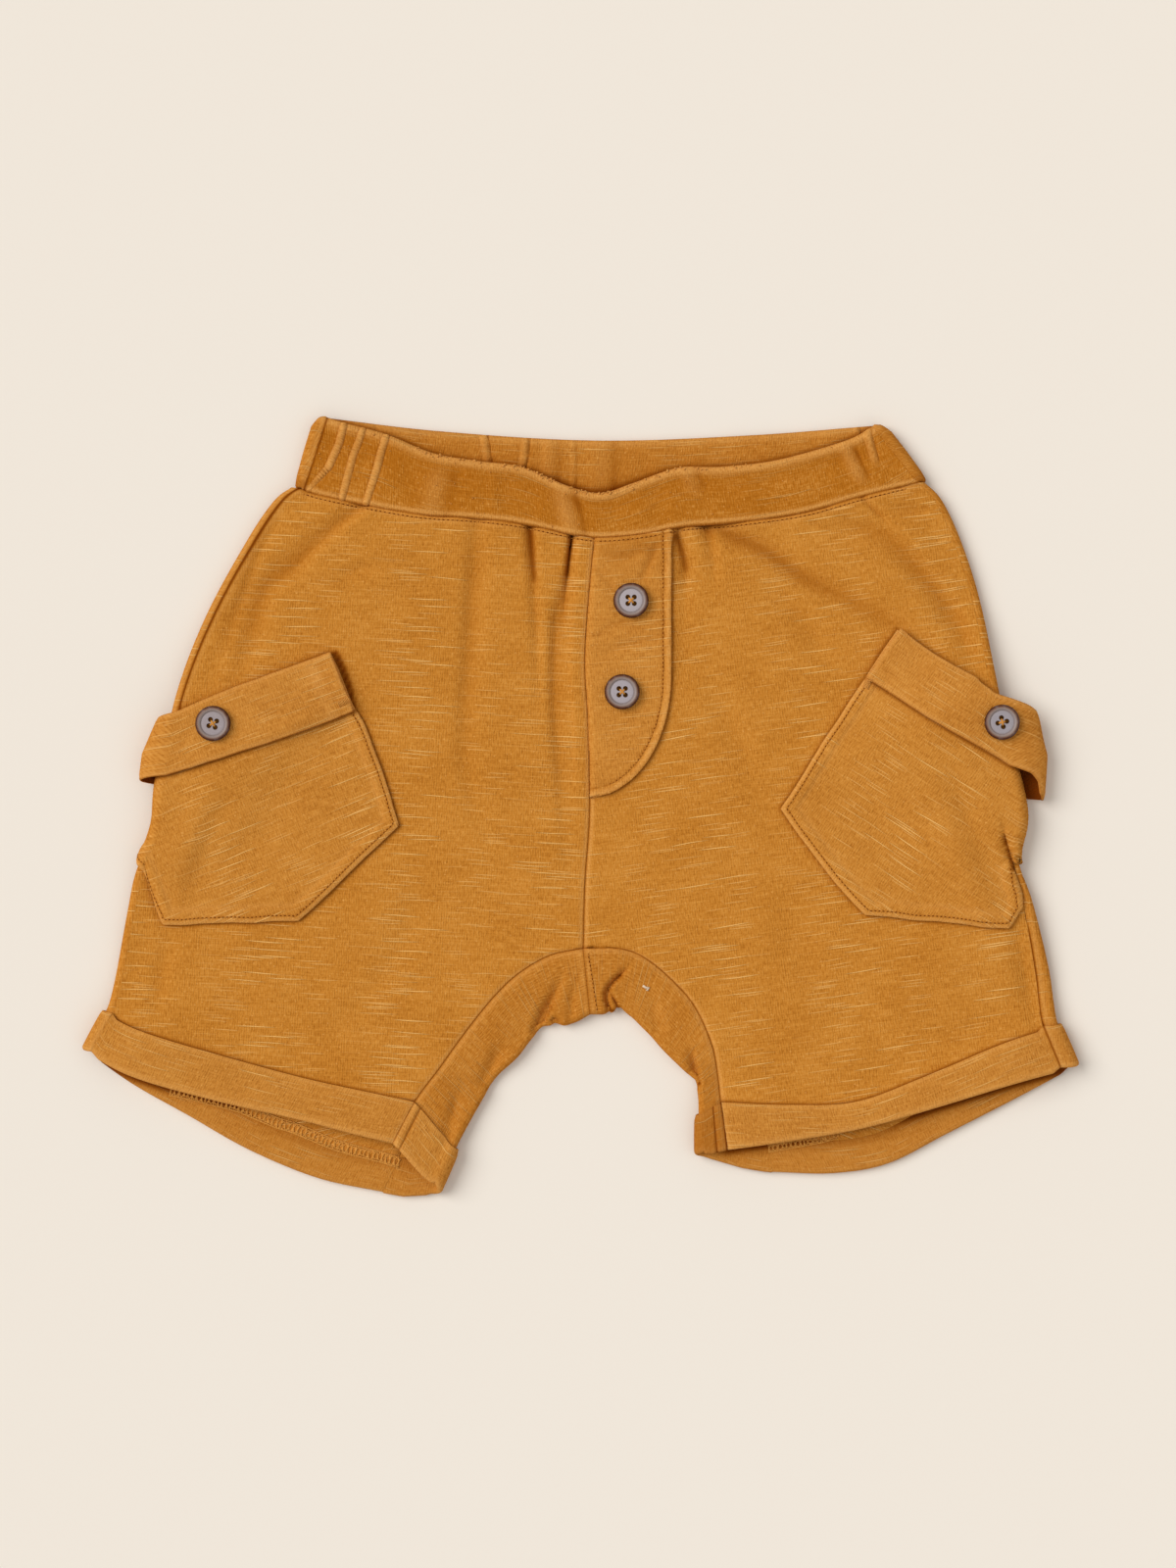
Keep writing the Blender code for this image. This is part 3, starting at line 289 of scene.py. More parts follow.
def unit(vectors):
    return vectors / np.maximum(np.linalg.norm(vectors, axis=-1, keepdims=True), 1e-9)


def runOf(points):
    steps = np.linalg.norm(np.diff(points, axis=0), axis=-1)
    return np.concatenate([[0.0], np.cumsum(steps)])


def sharesOf(points):
    run = runOf(points)
    return run / run[-1]


def sampled(points, run, places):
    return np.stack([np.interp(places, run, column) for column in points.T], axis=1)


def atShares(points, shares):
    run = runOf(points[:, :2])
    return sampled(points, run, np.asarray(shares) * run[-1])


def evenly(points, pitch):
    run = runOf(points)
    return sampled(points, run, np.arange(pitch / 2, run[-1], pitch))


def fade(value):
    t = np.clip(value, 0.0, 1.0)
    return t * t * (3 - 2 * t)


def near(distance, reach):
    return np.exp(-((distance / reach) ** 2))


def nearestOn(line, x, y):
    # distance to a polyline, side (1 on the right of its run, -1 on the left) and run along it
    best = np.full(np.shape(x), np.inf)
    side, run, start = np.zeros(np.shape(x)), np.zeros(np.shape(x)), 0.0
    for (ax, ay), (bx, by) in zip(line[:-1, :2], line[1:, :2]):
        alongX, alongY = bx - ax, by - ay
        size = math.hypot(alongX, alongY)
        if not size:
            continue
        relX, relY = x - ax, y - ay
        t = np.clip((relX * alongX + relY * alongY) / size**2, 0.0, 1.0)
        away = np.hypot(relX - t * alongX, relY - t * alongY)
        nearer = away < best
        best = np.where(nearer, away, best)
        side = np.where(nearer, np.sign(relX * alongY - relY * alongX), side)
        run = np.where(nearer, start + t * size, run)
        start += size
    return best, side, run


def distanceTo(line, x, y):
    return nearestOn(line, x, y)[0]


def awayFrom(line, grid):
    return distanceTo(line, grid[..., 0], grid[..., 1])


noiseKnots, noiseShift = 97, 500.0  # the relief repeats after this many lumps


def softNoise(x, y, size, seed):
    # smooth random relief from -1 to 1 with lumps of this size
    knots = np.random.default_rng(seed).uniform(-1.0, 1.0, (noiseKnots, noiseKnots))
    u, v = np.asarray(x) / size + noiseShift, np.asarray(y) / size + noiseShift
    i, j = np.floor(u).astype(int), np.floor(v).astype(int)
    a, b = fade(u - i), fade(v - j)
    i, j, nextI, nextJ = (value % noiseKnots for value in (i, j, i + 1, j + 1))
    low = knots[i, j] * (1 - a) + knots[nextI, j] * a
    high = knots[i, nextJ] * (1 - a) + knots[nextI, nextJ] * a
    return low * (1 - b) + high * b


def lineNoise(run, size, seed):
    return softNoise(run, 0 * run, size, seed)


def waves(x, y, bands):
    return sum(high * softNoise(x, y, size, seed) for size, high, seed in bands)


def edged(count, ease=0.65):
    # shares from 0 to 1 that lie closer together at both ends
    t = np.linspace(0, 1, count + 1)
    return (1 - ease) * t + ease * 0.5 * (1 - np.cos(math.pi * t))


def coons(top, bottom, start, end, shares):
    u = sharesOf(top)[None, :, None]
    v = np.asarray(shares)[:, None, None]
    ruled = (1 - v) * top[None] + v * bottom[None] + (1 - u) * start[:, None] + u * end[:, None]
    corners = (1 - v) * ((1 - u) * top[0] + u * top[-1]) + v * ((1 - u) * bottom[0] + u * bottom[-1])
    return ruled - corners


dense = 60
foldLines, innerLines, hemLines = (
    {side: smoothRows(rows, dense) for side, rows in table.items()} for table in (outerFolds, innerLegs, hems)
)
centreLine = smoothRows(centreFront, dense)
innerFold = np.vstack([innerLines["left"][::-3, 2:4], innerLines["right"][1::3, 2:4]])
backSeamLine = smoothRows(backWaistSeam, dense)
frontSeamLine = np.vstack([backSeamLine[0], smoothRows(waistStations, dense)[:, 2:4], backSeamLine[-1]])


def tracesOf(folds):
    return [(left, right, smoothRows(fromPhoto(points), 5 * (len(points) - 1))) for left, right, points in folds]


foldTraces, legTraces, tuckTraces = tracesOf(frontFolds), tracesOf(legFolds), tracesOf(sideTucks)


def onFold(side, y, column):
    line = foldLines[side][::-1]
    return np.interp(y, line[:, 1], line[:, column])


def foldCentre(side, y):
    return onFold(side, y, 0) - signOf[side] * foldReach


def pocketFrame(side):
    cornerX, cornerY, turnDeg = pocketPlans[side][:3]
    turn = math.radians(turnDeg)
    across = np.array([signOf[side] * math.cos(turn), -math.sin(turn)])
    down = np.array([-signOf[side] * math.sin(turn), -math.cos(turn)])
    return np.array([cornerX, cornerY]), across, down


def framePoints(side, places):
    corner, across, down = pocketFrame(side)
    return np.array([corner + a * across + d * down for a, d in places])


def pocketOutline(side):
    inner, outer, point = pocketPlans[side][3:]
    middle = (pocketWidth / 2, (inner + outer) / 2 + point)
    return framePoints(side, ((0, 0), (pocketWidth, 0), (pocketWidth, outer), middle, (0, inner)))


def bandOutline(side):
    first, last = bandInset, pocketWidth - bandInset
    corners = ((first, bandBelow), (last, bandBelow), (last, pocketBandDepth), (first, pocketBandDepth))
    return framePoints(side, corners)


def outside(corners, x, y):
    middle = corners.mean(axis=0)
    farthest = np.full(np.shape(x), -np.inf)
    for a, b in zip(corners, np.roll(corners, -1, axis=0)):
        normal = unit(np.array([b[1] - a[1], a[0] - b[0]]))
        normal *= -1.0 if (middle - a) @ normal > 0 else 1.0
        farthest = np.maximum(farthest, (x - a[0]) * normal[0] + (y - a[1]) * normal[1])
    return farthest


def backHeight(x, y):
    rise = (lie["bandCloth"] - lie["cloth"]) / 2
    height = lie["cloth"] / 2 + rise * (1 - fade(distanceTo(backSeamLine[::3], x, y) / lie["cuffLiftRun"]))
    for side, sign in signOf.items():
        hem = np.vstack([hemLines[side][::3, 4:6], innerLines[side][-1, 2:4]])
        height += layer * (1 - fade((distanceTo(hem, x, y) - lie["cuffDepth"]) / lie["cuffLiftRun"]))
        wrappedX = 2 * foldCentre(side, y) - x + sign * halfTurn
        rooms = ((pocketOutline(side), layer), (bandOutline(side), lie["layGap"] + lie["pocketBandCloth"]))
        for outline, room in rooms:
            height += room * (1 - fade((outside(outline, wrappedX, y) - lie["liftMargin"]) / lie["liftRun"]))
    return height


foldShape = {"reach": 2.6, "bank": 0.45}  # in half widths, and the low bank beside a fold


def foldDepth(x, y, traces=foldTraces):
    total = np.zeros(np.shape(x))
    for left, right, trace in traces:
        reach = foldShape["reach"] * max(left, right)
        low, high = trace[:, :2].min(axis=0) - reach, trace[:, :2].max(axis=0) + reach
        close = (x > low[0]) & (x < high[0]) & (y > low[1]) & (y < high[1])
        if not close.any():
            continue
        away, side, run = nearestOn(trace, x[close], y[close])
        depth = np.interp(run, runOf(trace[:, :2]), trace[:, 2])
        across = (away / np.where(side > 0, right, left)) ** 2
        total[close] += depth * (1 - foldShape["bank"] * across) * np.exp(-across)
    return foldScale * total


def seamFall(x, y):
    # the cloth dips into its seams, and puckers a little beside them
    fall = np.zeros(np.shape(x))
    seams = [frontSeamLine[::2], centreLine[::3]]
    seams += [innerLines[side][::3, 0:2] for side in signOf]
    high, length, reach = panelEdges["pucker"]
    for number, line in enumerate(seams):
        away, _, run = nearestOn(line, x, y)
        pucker = high * lineNoise(run, length, 30 + number) * near(away, reach)
        fall += panelEdges["seamDip"] * near(away, panelEdges["seamRun"]) + pucker
    return fall


def centreStrip(x, y):
    # the seam allowance pressed to the left of the centre seam
    away, side, _ = nearestOn(centreLine[::3], x, y)
    inside = fade((panelEdges["stripWidth"] - away) / panelEdges["stripEdge"]) * (side > 0)
    return panelEdges["stripRise"] * inside * fade((y - panelEdges["stripEndY"]) / panelEdges["stripFade"])


def frontHeight(x, y):
    x, y = np.asarray(x, float), np.asarray(y, float)
    fromFold = distanceTo(innerFold, x, y)
    for line in foldLines.values():
        fromFold = np.minimum(fromFold, distanceTo(line[::3], x, y))
    rise = fade((fromFold - foldReach) / lie["loftRun"])
    ease = fade((fromFold - foldReach) / lie["easeRun"])
    relief = waves(x, y, panelWaves) - foldDepth(x, y) - seamFall(x, y) + centreStrip(x, y)
    tucks = np.minimum(foldDepth(x, y, tuckTraces), lie["tuckLimit"])
    return backHeight(x, y) + 2 * foldRadius + rise * lie["loft"] + ease * relief - tucks


def slopes(height, x, y):
    step = 0.6
    alongX = (height(x + step, y) - height(x - step, y)) / (2 * step)
    alongY = (height(x, y + step) - height(x, y - step)) / (2 * step)
    return unit(np.stack([-alongX, -alongY, np.ones(np.shape(x))], axis=-1))


def onGarment(side, x, y, roundRun=halfTurn):
    # a point of the sheet and its outward normal; past the outer fold's centre line it goes round
    sign = signOf[side]
    centre = foldCentre(side, y)
    run = sign * (x - centre)
    angle = math.pi * np.clip(run / roundRun, 0.0, 1.0)
    underX = centre - sign * (run - roundRun)
    onTop, under = (run <= 0)[..., None], (run >= roundRun)[..., None]
    foldZ = backHeight(centre, y) + foldRadius
    points = np.stack([centre + sign * foldRadius * np.sin(angle), y, foldZ + foldRadius * np.cos(angle)], -1)
    normals = np.stack([sign * np.sin(angle), np.zeros(np.shape(y)), np.cos(angle)], -1)
    topPoints = np.stack([x, y, frontHeight(x, y)], -1)
    underPoints = np.stack([underX, y, backHeight(underX, y)], -1)
    points = np.where(onTop, topPoints, np.where(under, underPoints, points))
    normals = np.where(onTop, slopes(frontHeight, x, y), normals)
    return points, np.where(under, -slopes(backHeight, underX, y), normals)


def gridNormals(grid, outward):
    return unit(np.cross(np.gradient(grid, axis=1), np.gradient(grid, axis=0)) * outward)


def gridRuns(grid):
    # how far each point is along the cloth from the first column and from the first row
    along = np.cumsum(np.linalg.norm(np.diff(grid, axis=1, prepend=grid[:, :1]), axis=-1), axis=1)
    down = np.cumsum(np.linalg.norm(np.diff(grid, axis=0, prepend=grid[:1]), axis=-1), axis=0)
    return along, down


def gridUv(grid):
    # width and length along the cloth, from the middle of each row and the top of each column
    along, down = gridRuns(grid)
    middle = grid.shape[1] // 2
    return np.stack([along - along[:, middle : middle + 1], down], axis=-1)


def edgeDistance(grid):
    # how far each point is from each edge, along the cloth
    along, down = gridRuns(grid)
    return {"left": along, "right": along[:, -1:] - along, "top": down, "bottom": down[-1:] - down}


def edgeMarks(edges, rows):
    # lines of wear or shade beside edges: edge, how strong, how far in and how far they reach
    return sum(amount * near(edges[edge] - place, reach) for edge, amount, place, reach in rows)


def linked(name, data):
    made = bpy.data.objects.new(name, data)
    bpy.context.scene.collection.objects.link(made)
    return made


def makeObject(name, points, quads, uv, marks, material):
    # marks holds how worn each point is, with painted highlight in a few places, and how much painted shade it carries
    points = np.array(points, float)
    points[:, 2] = np.maximum(points[:, 2], 0.0)
    a, b, c = points[np.concatenate([quads[:, :3], quads[:, [0, 2, 3]]])].transpose(1, 0, 2)
    if (a * np.cross(b, c)).sum() < 0:
        quads = quads[:, ::-1]
    mesh = bpy.data.meshes.new(name)
    mesh.from_pydata((points * mm).tolist(), [], quads.tolist())
    mesh.shade_smooth()
    owner = np.empty(len(mesh.loops), int)
    mesh.loops.foreach_get("vertex_index", owner)
    mesh.uv_layers.new(name="cloth").data.foreach_set("uv", (np.asarray(uv)[owner] * mm).astype(np.float32).ravel())
    for word, values in marks.items():
        mesh.attributes.new(word, "FLOAT", "POINT").data.foreach_set("value", np.asarray(values, np.float32))
    mesh.materials.append(material)
    return linked(name, mesh)


def ridden(piece, node=None):
    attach(piece, "root")
    if node:
        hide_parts(node)
    return piece


def sewn(node, grid, thickness, outward, finish, uv=None, wearAndHighlight=0.0, paintedShade=0.0, roll=0.55, shade=0.0):
    # a closed shell of cloth with rounded edges; thickness is a number or one for each point
    shape = grid.shape[:2]
    half = np.broadcast_to(thickness, shape)[..., None] / 2
    lift = gridNormals(grid, outward) * half
    count = shape[0] * shape[1]
    index = np.arange(count).reshape(shape)
    quads = np.stack([index[:-1, :-1], index[:-1, 1:], index[1:, 1:], index[1:, :-1]], -1).reshape(-1, 4)
    rim = np.concatenate([index[0], index[1:, -1], index[-1, -2::-1], index[-2:0:-1, 0]])
    flat = grid.reshape(-1, 3)
    inRow, inColumn = (np.clip(place, 1, size - 2) for place, size in zip(np.divmod(rim, shape[1]), shape))
    middle = flat[rim] + unit(flat[rim] - grid[inRow, inColumn]) * half.reshape(-1, 1)[rim] * roll
    edge = 2 * count + np.arange(len(rim))
    nextRim, nextEdge = np.roll(rim, -1), np.roll(edge, -1)
    faces = [quads, quads[:, ::-1] + count, np.stack([nextRim, rim, edge, nextEdge], -1)]
    faces.append(np.stack([nextEdge, edge, rim + count, nextRim + count], -1))
    uv = (gridUv(grid) if uv is None else uv).reshape(-1, 2)
    wearAndHighlight, paintedShade = (np.clip(np.broadcast_to(values, shape), 0, 1).reshape(-1) for values in (wearAndHighlight, paintedShade))
    marks = {"wearAndHighlight": (wearAndHighlight, wearAndHighlight, wearAndHighlight[rim]), "paintedShade": (paintedShade, np.maximum(paintedShade, np.ravel(shade)), paintedShade[rim])}
    marks = {word: np.concatenate(values) for word, values in marks.items()}
    points = np.concatenate([(grid + lift).reshape(-1, 3), (grid - lift).reshape(-1, 3), middle])
    uv = np.concatenate([uv, uv, uv[rim]])
    piece = makeObject(f"{node}_sewn", points, np.concatenate(faces), uv, marks, finishes[finish])
    return ridden(piece, node)


def trimmed(grid, gap, edges):
    # the grid with these edges drawn in by the gap
    grid = grid.copy()
    turned = grid.swapaxes(0, 1)
    views = {"top": grid, "bottom": grid[::-1], "left": turned, "right": turned[::-1]}
    for word in edges:
        view = views[word]
        view[0] += unit(view[1] - view[0]) * gap
    return grid


def atPlaces(grid, rows, columns):
    # points of a grid at fractional rows and columns
    rows, columns = np.broadcast_arrays(np.asarray(rows, float), np.asarray(columns, float))
    i = np.clip(np.floor(rows).astype(int), 0, grid.shape[0] - 2)
    j = np.clip(np.floor(columns).astype(int), 0, grid.shape[1] - 2)
    a, b = (rows - i)[..., None], (columns - j)[..., None]
    low = grid[i, j] * (1 - b) + grid[i, j + 1] * b
    return low * (1 - a) + (grid[i + 1, j] * (1 - b) + grid[i + 1, j + 1] * b) * a


class Wire:
    def __init__(self, tree, socket=None):
        self.tree = tree
        self.socket = socket

    def node(self, kind, settings=None, inputs=None, output=0):
        made = self.tree.nodes.new(kind)
        for word, value in (settings or {}).items():
            if word == "stops":
                ramp = made.color_ramp
                for number, (place, colour) in enumerate(value):
                    stop = ramp.elements[number] if number < 2 else ramp.elements.new(place)
                    stop.position, stop.color = place, colour
            else:
                setattr(made, word, value)
        for word, value in (inputs or {}).items():
            if isinstance(value, Wire):
                self.tree.links.new(value.socket, made.inputs[word])
            else:
                made.inputs[word].default_value = value
        return Wire(self.tree, made.outputs[output])

    def other(self, output):
        # another output of the same node
        return Wire(self.tree, self.socket.node.outputs[output])

    def maths(self, operation, first, second=0.0, third=0.0, clamp=False):
        settings = {"operation": operation, "use_clamp": clamp}
        return self.node("ShaderNodeMath", settings, {0: first, 1: second, 2: third})

    def vector(self, operation, first, second=(0.0, 0.0, 0.0), output=0):
        return self.node("ShaderNodeVectorMath", {"operation": operation}, {0: first, 1: second}, output)

    def mix(self, first, second, factor):
        return self.node("ShaderNodeMix", {"data_type": "RGBA"}, {0: factor, 6: first, 7: second}, 2)

    def step(self, low, high):
        # 0 below low and 1 above high, or the other way round where low is the larger
        return self.maths("DIVIDE", self - low, high - low, clamp=True)

    def __add__(self, other):
        return self.maths("ADD", self, other)

    def __sub__(self, other):
        return self.maths("SUBTRACT", self, other)

    def __mul__(self, other):
        return self.maths("MULTIPLY", self, other)

    __radd__ = __add__
    __rmul__ = __mul__


def linear(red, green, blue):
    # a colour picked from the photograph, 0 to 255, as Blender's linear colour
    picked = [value / 255 for value in (red, green, blue)]
    return (*[v / 12.92 if v <= 0.04045 else ((v + 0.055) / 1.055) ** 2.4 for v in picked], 1.0)


def newMaterial(name, plain):
    # a material's wire and a function that sets its shader's inputs, after the plain ones are set
    made = bpy.data.materials.new(name)
    made.use_nodes = True
    shader = made.node_tree.nodes["Principled BSDF"]

    def setInputs(inputs):
        for word, value in inputs.items():
            if isinstance(value, Wire):
                made.node_tree.links.new(value.socket, shader.inputs[word])
            else:
                shader.inputs[word].default_value = value

    setInputs(plain)
    return made, Wire(made.node_tree), setInputs


jersey = {
    "colours": {
        "slub": linear(242, 184, 106),
        "shadow": linear(140, 72, 2),
        "light": linear(224, 160, 78),
        "wearAndHighlight": linear(220, 158, 84),
        # the last two colours are painted shade, laid where folds, seams and edges would shade the cloth
        "hollow": linear(160, 88, 8),
        "paintedShade": linear(98, 30, 0),
    },
    "surface": {
        "Roughness": 0.93,
        "Sheen Weight": 0.02,
        "Sheen Roughness": 0.6,
        "Sheen Tint": linear(255, 190, 110),
        "Specular IOR Level": 0.0,
    },
    "slubAmount": 0.85,
    "wale": 0.78,  # mm between ribs
    "course": 0.56,
    "longSlubs": (46.0, 1.35, 0.155, 0.55, 3.0),  # length, pitch, how thick, share of cells, offset
    "shortSlubs": (26.0, 1.1, 0.18, 0.7, 21.0),
    "noises": {  # lumps to a mm across and along, detail and offset
        "thread": (0.14, 1.9, 3.0, 5.0),
        "fibre": (2.3, 0.5, 2.0, 33.0),
        "grain": (1.9, 1.9, 2.0, 40.0),
        "cloudy": (0.045, 0.06, 3.0, 60.0),
    },
    "tone": {"thread": 0.6, "fibre": 1.0, "grain": 0.5, "cloudy": 0.4},
    "relief": {"ribs": 0.022, "loops": 0.008, "long": 0.2, "short": 0.08, "thread": 0.08, "fibre": 0.16, "grain": 0.14},
}


def jerseyMaterial(name, colour, slubs):
    made, wire, setInputs = newMaterial(name, jersey["surface"])
    metres = wire.node("ShaderNodeUVMap", {"uv_map": "cloth"})
    cloth = wire.node("ShaderNodeVectorMath", {"operation": "SCALE"}, {0: metres, "Scale": 1 / mm})
    u = wire.node("ShaderNodeSeparateXYZ", None, {0: cloth})
    v = u.other(1)
    wearAndHighlight, paintedShade = (wire.node("ShaderNodeAttribute", {"attribute_name": word}, None, 2) for word in ("wearAndHighlight", "paintedShade"))

    def noise(scaleU, scaleV, detail, offset):
        place = wire.node("ShaderNodeCombineXYZ", None, {0: u * scaleU + offset, 1: v * scaleV + offset})
        settings = {"noise_dimensions": "2D"}
        return wire.node("ShaderNodeTexNoise", settings, {"Vector": place, "Scale": 1.0, "Detail": detail})

    def cellsOf(place, scale):
        return wire.node("ShaderNodeTexVoronoi", {"voronoi_dimensions": "2D"}, {"Vector": place, "Scale": scale})

    def streaks(length, pitch, thick, share, offset):
        # one slub to a cell, kept in some cells only
        bend = noise(0.05, 0.2, 0.0, offset) * 0.8
        place = wire.node("ShaderNodeCombineXYZ", None, {0: u * (1 / length) + offset, 1: v * (1 / pitch) + bend})
        cells = cellsOf(place, 1.0)
        chance = wire.node("ShaderNodeSeparateColor", None, {0: cells.other(1)})
        spread = noise(0.03, 0.06, 1.0, offset + 9.0).step(0.12, 0.42)
        return cells.step(thick, thick * 0.7) * (chance.step(1.0 - share, 1.0 - share * 0.5) * spread)

    fields = {"long": streaks(*jersey["longSlubs"]), "short": streaks(*jersey["shortSlubs"])}
    fields |= {word: noise(*row) for word, row in jersey["noises"].items()}
    fields["ribs"] = wire.maths("SINE", u * (2 * math.pi / jersey["wale"]) + fields["thread"] * 2.0)
    fields["loops"] = wire.maths("SINE", v * (2 * math.pi / jersey["course"]) + fields["grain"] * 2.0)
    specks = cellsOf(cloth, 0.21).step(0.07, 0.03)

    tone = fields["ribs"] * 0.05
    for word, amount in jersey["tone"].items():
        tone = tone + (fields[word] - 0.5) * amount
    slub = (fields["long"] + fields["short"] * 0.55) * (jersey["slubAmount"] * slubs)
    coats = (  # each colour over those before it, and where it shows
        ("light", (tone * 1.3).step(0.0, 1.0)),
        ("shadow", (tone * -1.3).step(0.0, 1.0)),
        ("slub", wire.maths("MINIMUM", slub + specks * 0.3, 0.9)),
        # the wear coat also lays painted highlight on the waistband's gathers and the fly's welt; the last two coats
        # are painted shade
        ("wearAndHighlight", wearAndHighlight * (fields["grain"].step(0.25, 0.7) * 0.55 + 0.35)),
        ("hollow", (paintedShade * 1.7).step(0.0, 1.0) * 0.72),
        ("paintedShade", paintedShade.step(0.22, 1.0) * 0.92),
    )
    mixed = linear(*colour)
    for word, share in coats:
        mixed = wire.mix(mixed, jersey["colours"][word], share)
    relief = sum(fields[word] * amount for word, amount in jersey["relief"].items())
    bump = wire.node("ShaderNodeBump", None, {"Height": relief, "Strength": 0.9, "Distance": 0.001})
    setInputs({"Base Color": mixed, "Normal": bump})
    return made


jerseyColours = {  # a colour picked from the photograph, and how strong the slubs are
    "panel": ((195, 126, 46), 1.0),
    "back": ((193, 123, 44), 1.0),
    # the front band's darker colour is partly for wear and partly painted shade
    "waistband": ((179, 108, 29), 0.4),
    "waistband_back": ((187, 118, 42), 0.7),
    "inner_leg": ((189, 119, 42), 0.36),
    "cuff": ((196, 129, 53), 0.8),
    "pocket": ((196, 128, 50), 1.0),
    "pocket_band": ((196, 128, 52), 0.8),
    "fly": ((198, 130, 53), 1.0),
    "thread": ((206, 140, 60), 0.0),
    "lint": ((226, 206, 180), 0.0),
}
finishes = {word: jerseyMaterial(f"jersey_{word}", *row) for word, row in jerseyColours.items()}
print("jersey finishes made")


def sheetGrid(plan, height):
    return np.dstack([plan, height(plan[..., 0], plan[..., 1])])


def runOn(start, end, count):
    # rows that carry a panel on from its last row, part of the way to the end of the cuff over it
    return np.stack([start + (end - start) * lie["cuffOverlap"] * k / count for k in range(1, count + 1)])


stitch = {
    "radius": 0.17,
    "length": 0.8,  # share of the pitch
    "arch": ((-1.0, -0.24), (-0.7, 0.04), (0.0, 0.1), (0.7, 0.04), (1.0, -0.24)),  # share of its half, and height
    "thick": (0.7, 1.0, 1.05, 1.0, 0.7),
    # how much painted shade a stitch carries along its run, most at its ends where it goes into the cloth
    "dark": (1.0, 0.5, 0.1, 0.5, 1.0),
    "holeRadius": 0.27,  # a peg painted dark as the shade of the hole where the needle went in
    "hole": ((-0.3, 0.7), (-0.12, 1.0), (0.04, 0.85)),  # height, and share of that radius
    "waistPitch": 1.5,
    "pocketPitch": 1.35,
    "flyPitch": 1.4,
    "crotchPitch": 1.45,
    "waistBelow": 1.25,
    "flyInside": 2.5,
}

panel = {
    "thickness": 0.9,
    "bodyRows": 128,
    "legRows": 60,
    "columns": 124,
    "gap": 0.1,
    "topShares": (0.0, 0.0014, 0.0028, 0.0045, 0.0065),  # close rows under the waist seam, then evenly after
    "evenAfter": 0.008,
    "grainDeg": {"left": -3.0, "right": 8.0},
    "seamShows": {"left": (-15.0, 8.0), "right": (-34.0, -44.0)},  # y where the side seam starts to show, and shows
    "seamReach": 1.2,  # hem lines end where they come this near the side seam
    "wearAndHighlight": (("left", 0.75, 0.9, 0.6), ("top", 0.3, 1.6, 0.9)),
    "seamWorn": (("right", 0.35, 1.3, 0.7),),
    "seamPaintedShade": (("right", 0.85, 0.0, 0.6),),
    "shades": (  # darkest hollows: how dark, reach in mm, then pixels
        (0.95, 1.2, ((342, 667), (350, 684), (356, 702), (359, 721))),
        (0.4, 1.5, ((921, 655), (960, 688), (1012, 724))),
        (0.5, 1.0, ((908, 652), (897, 668), (886, 690))),
        (0.5, 1.2, ((583, 547), (580, 566), (577, 584))),
        (0.4, 1.6, ((541, 536), (543, 560), (545, 590))),
        (0.35, 1.4, ((690, 548), (696, 566), (700, 580))),
    ),
}


def halfRows(side, piece):
    # the front edge and the back edge of a half from waist to cuff, and the shares of their rows
    leg = smoothRows(innerLegs[side], piece["legRows"], last=len(innerLegs[side]) - 2)
    centre = smoothRows(centreFront, piece["bodyRows"])
    frontEdge = np.vstack([centre, leg[1:, 0:2]])
    backTop = np.array([centre[0, 0], np.interp(centre[0, 0], backSeamLine[:, 0], backSeamLine[:, 1])])
    backCentre = backTop + (leg[0, 4:6] - backTop) * np.linspace(0, 1, piece["bodyRows"] + 1)[:, None]
    return frontEdge, np.vstack([backCentre, leg[1:, 4:6]]), sharesOf(frontEdge)


def foldRows(side, shares):
    line = foldLines[side]
    return atShares(line[line[:, 1] >= hemLines[side][0, 1] - 1e-6], shares)[:, 1]


def seamAway(side, y):
    # how far past the fold's centre line the side seam lies
    return foldReach - onFold(side, y, 2)


def sideSeam(side, y):
    return np.stack([foldCentre(side, y) + signOf[side] * seamAway(side, y), y], axis=1)


def partOfSeam(line, xFrom, xTo, shares):
    x = xFrom + (xTo - xFrom) * np.asarray(shares)
    return np.stack([x, np.interp(x, line[:, 0], line[:, 1])], axis=1)


def grainUv(plan, degrees):
    turn = math.radians(degrees)
    u = plan[..., 0] * math.cos(turn) + plan[..., 1] * math.sin(turn)
    v = -plan[..., 0] * math.sin(turn) + plan[..., 1] * math.cos(turn)
    return np.stack([u, v], axis=-1)


def hemToSeam(side, first):
    # a line of the hem, by its first column, from the inner leg to the side seam
    line = hemLines[side][::-1, first : first + 2]
    end = sideSeam(side, line[-1:, 1])
    return np.vstack([line[signOf[side] * (end[0, 0] - line[:, 0]) > panel["seamReach"]], end])


def cuffPlanFront(side):
    shares = edged(panel["columns"])
    return np.stack([atShares(hemToSeam(side, first), shares) for first in (0, 2)])


def seamShows(side, y):
    # how far the side seam can be seen: on the left above the pocket, on the right below it
    gone, full = panel["seamShows"][side]
    return fade((y - gone) / (full - gone))


def paintedShadeMark(plan, side):
    # painted shade where the cloth is folded deep, turns into a seam or lies close under an edge
    lines = [
        (0.62, 0.45, centreLine[::3]),
        (0.68, 0.5, innerLines[side][::3, 0:2]),
        (0.55, 0.8, hemLines[side][::3, 0:2]),
        (0.5, 1.1, pocketBorder(side)),
        (0.5, 1.2, framePoints(side, ((0.0, 0.0), (pocketWidth, 0.0)))),
    ]
    if side == "right":
        lines.append((0.5, 0.8, flyPlan()[::3, -1]))
    lines += [(dark, reach, fromPhoto(points)) for dark, reach, points in panel["shades"]]
    mark = 0.5 * near(awayFrom(frontSeamLine[::2], plan), 0.6)
    for dark, reach, line in lines:
        mark = np.maximum(mark, dark * near(awayFrom(line, plan), reach))
    return np.clip(foldDepth(plan[..., 0], plan[..., 1]) - 0.5, 0.0, 2.0) * 0.24 + mark


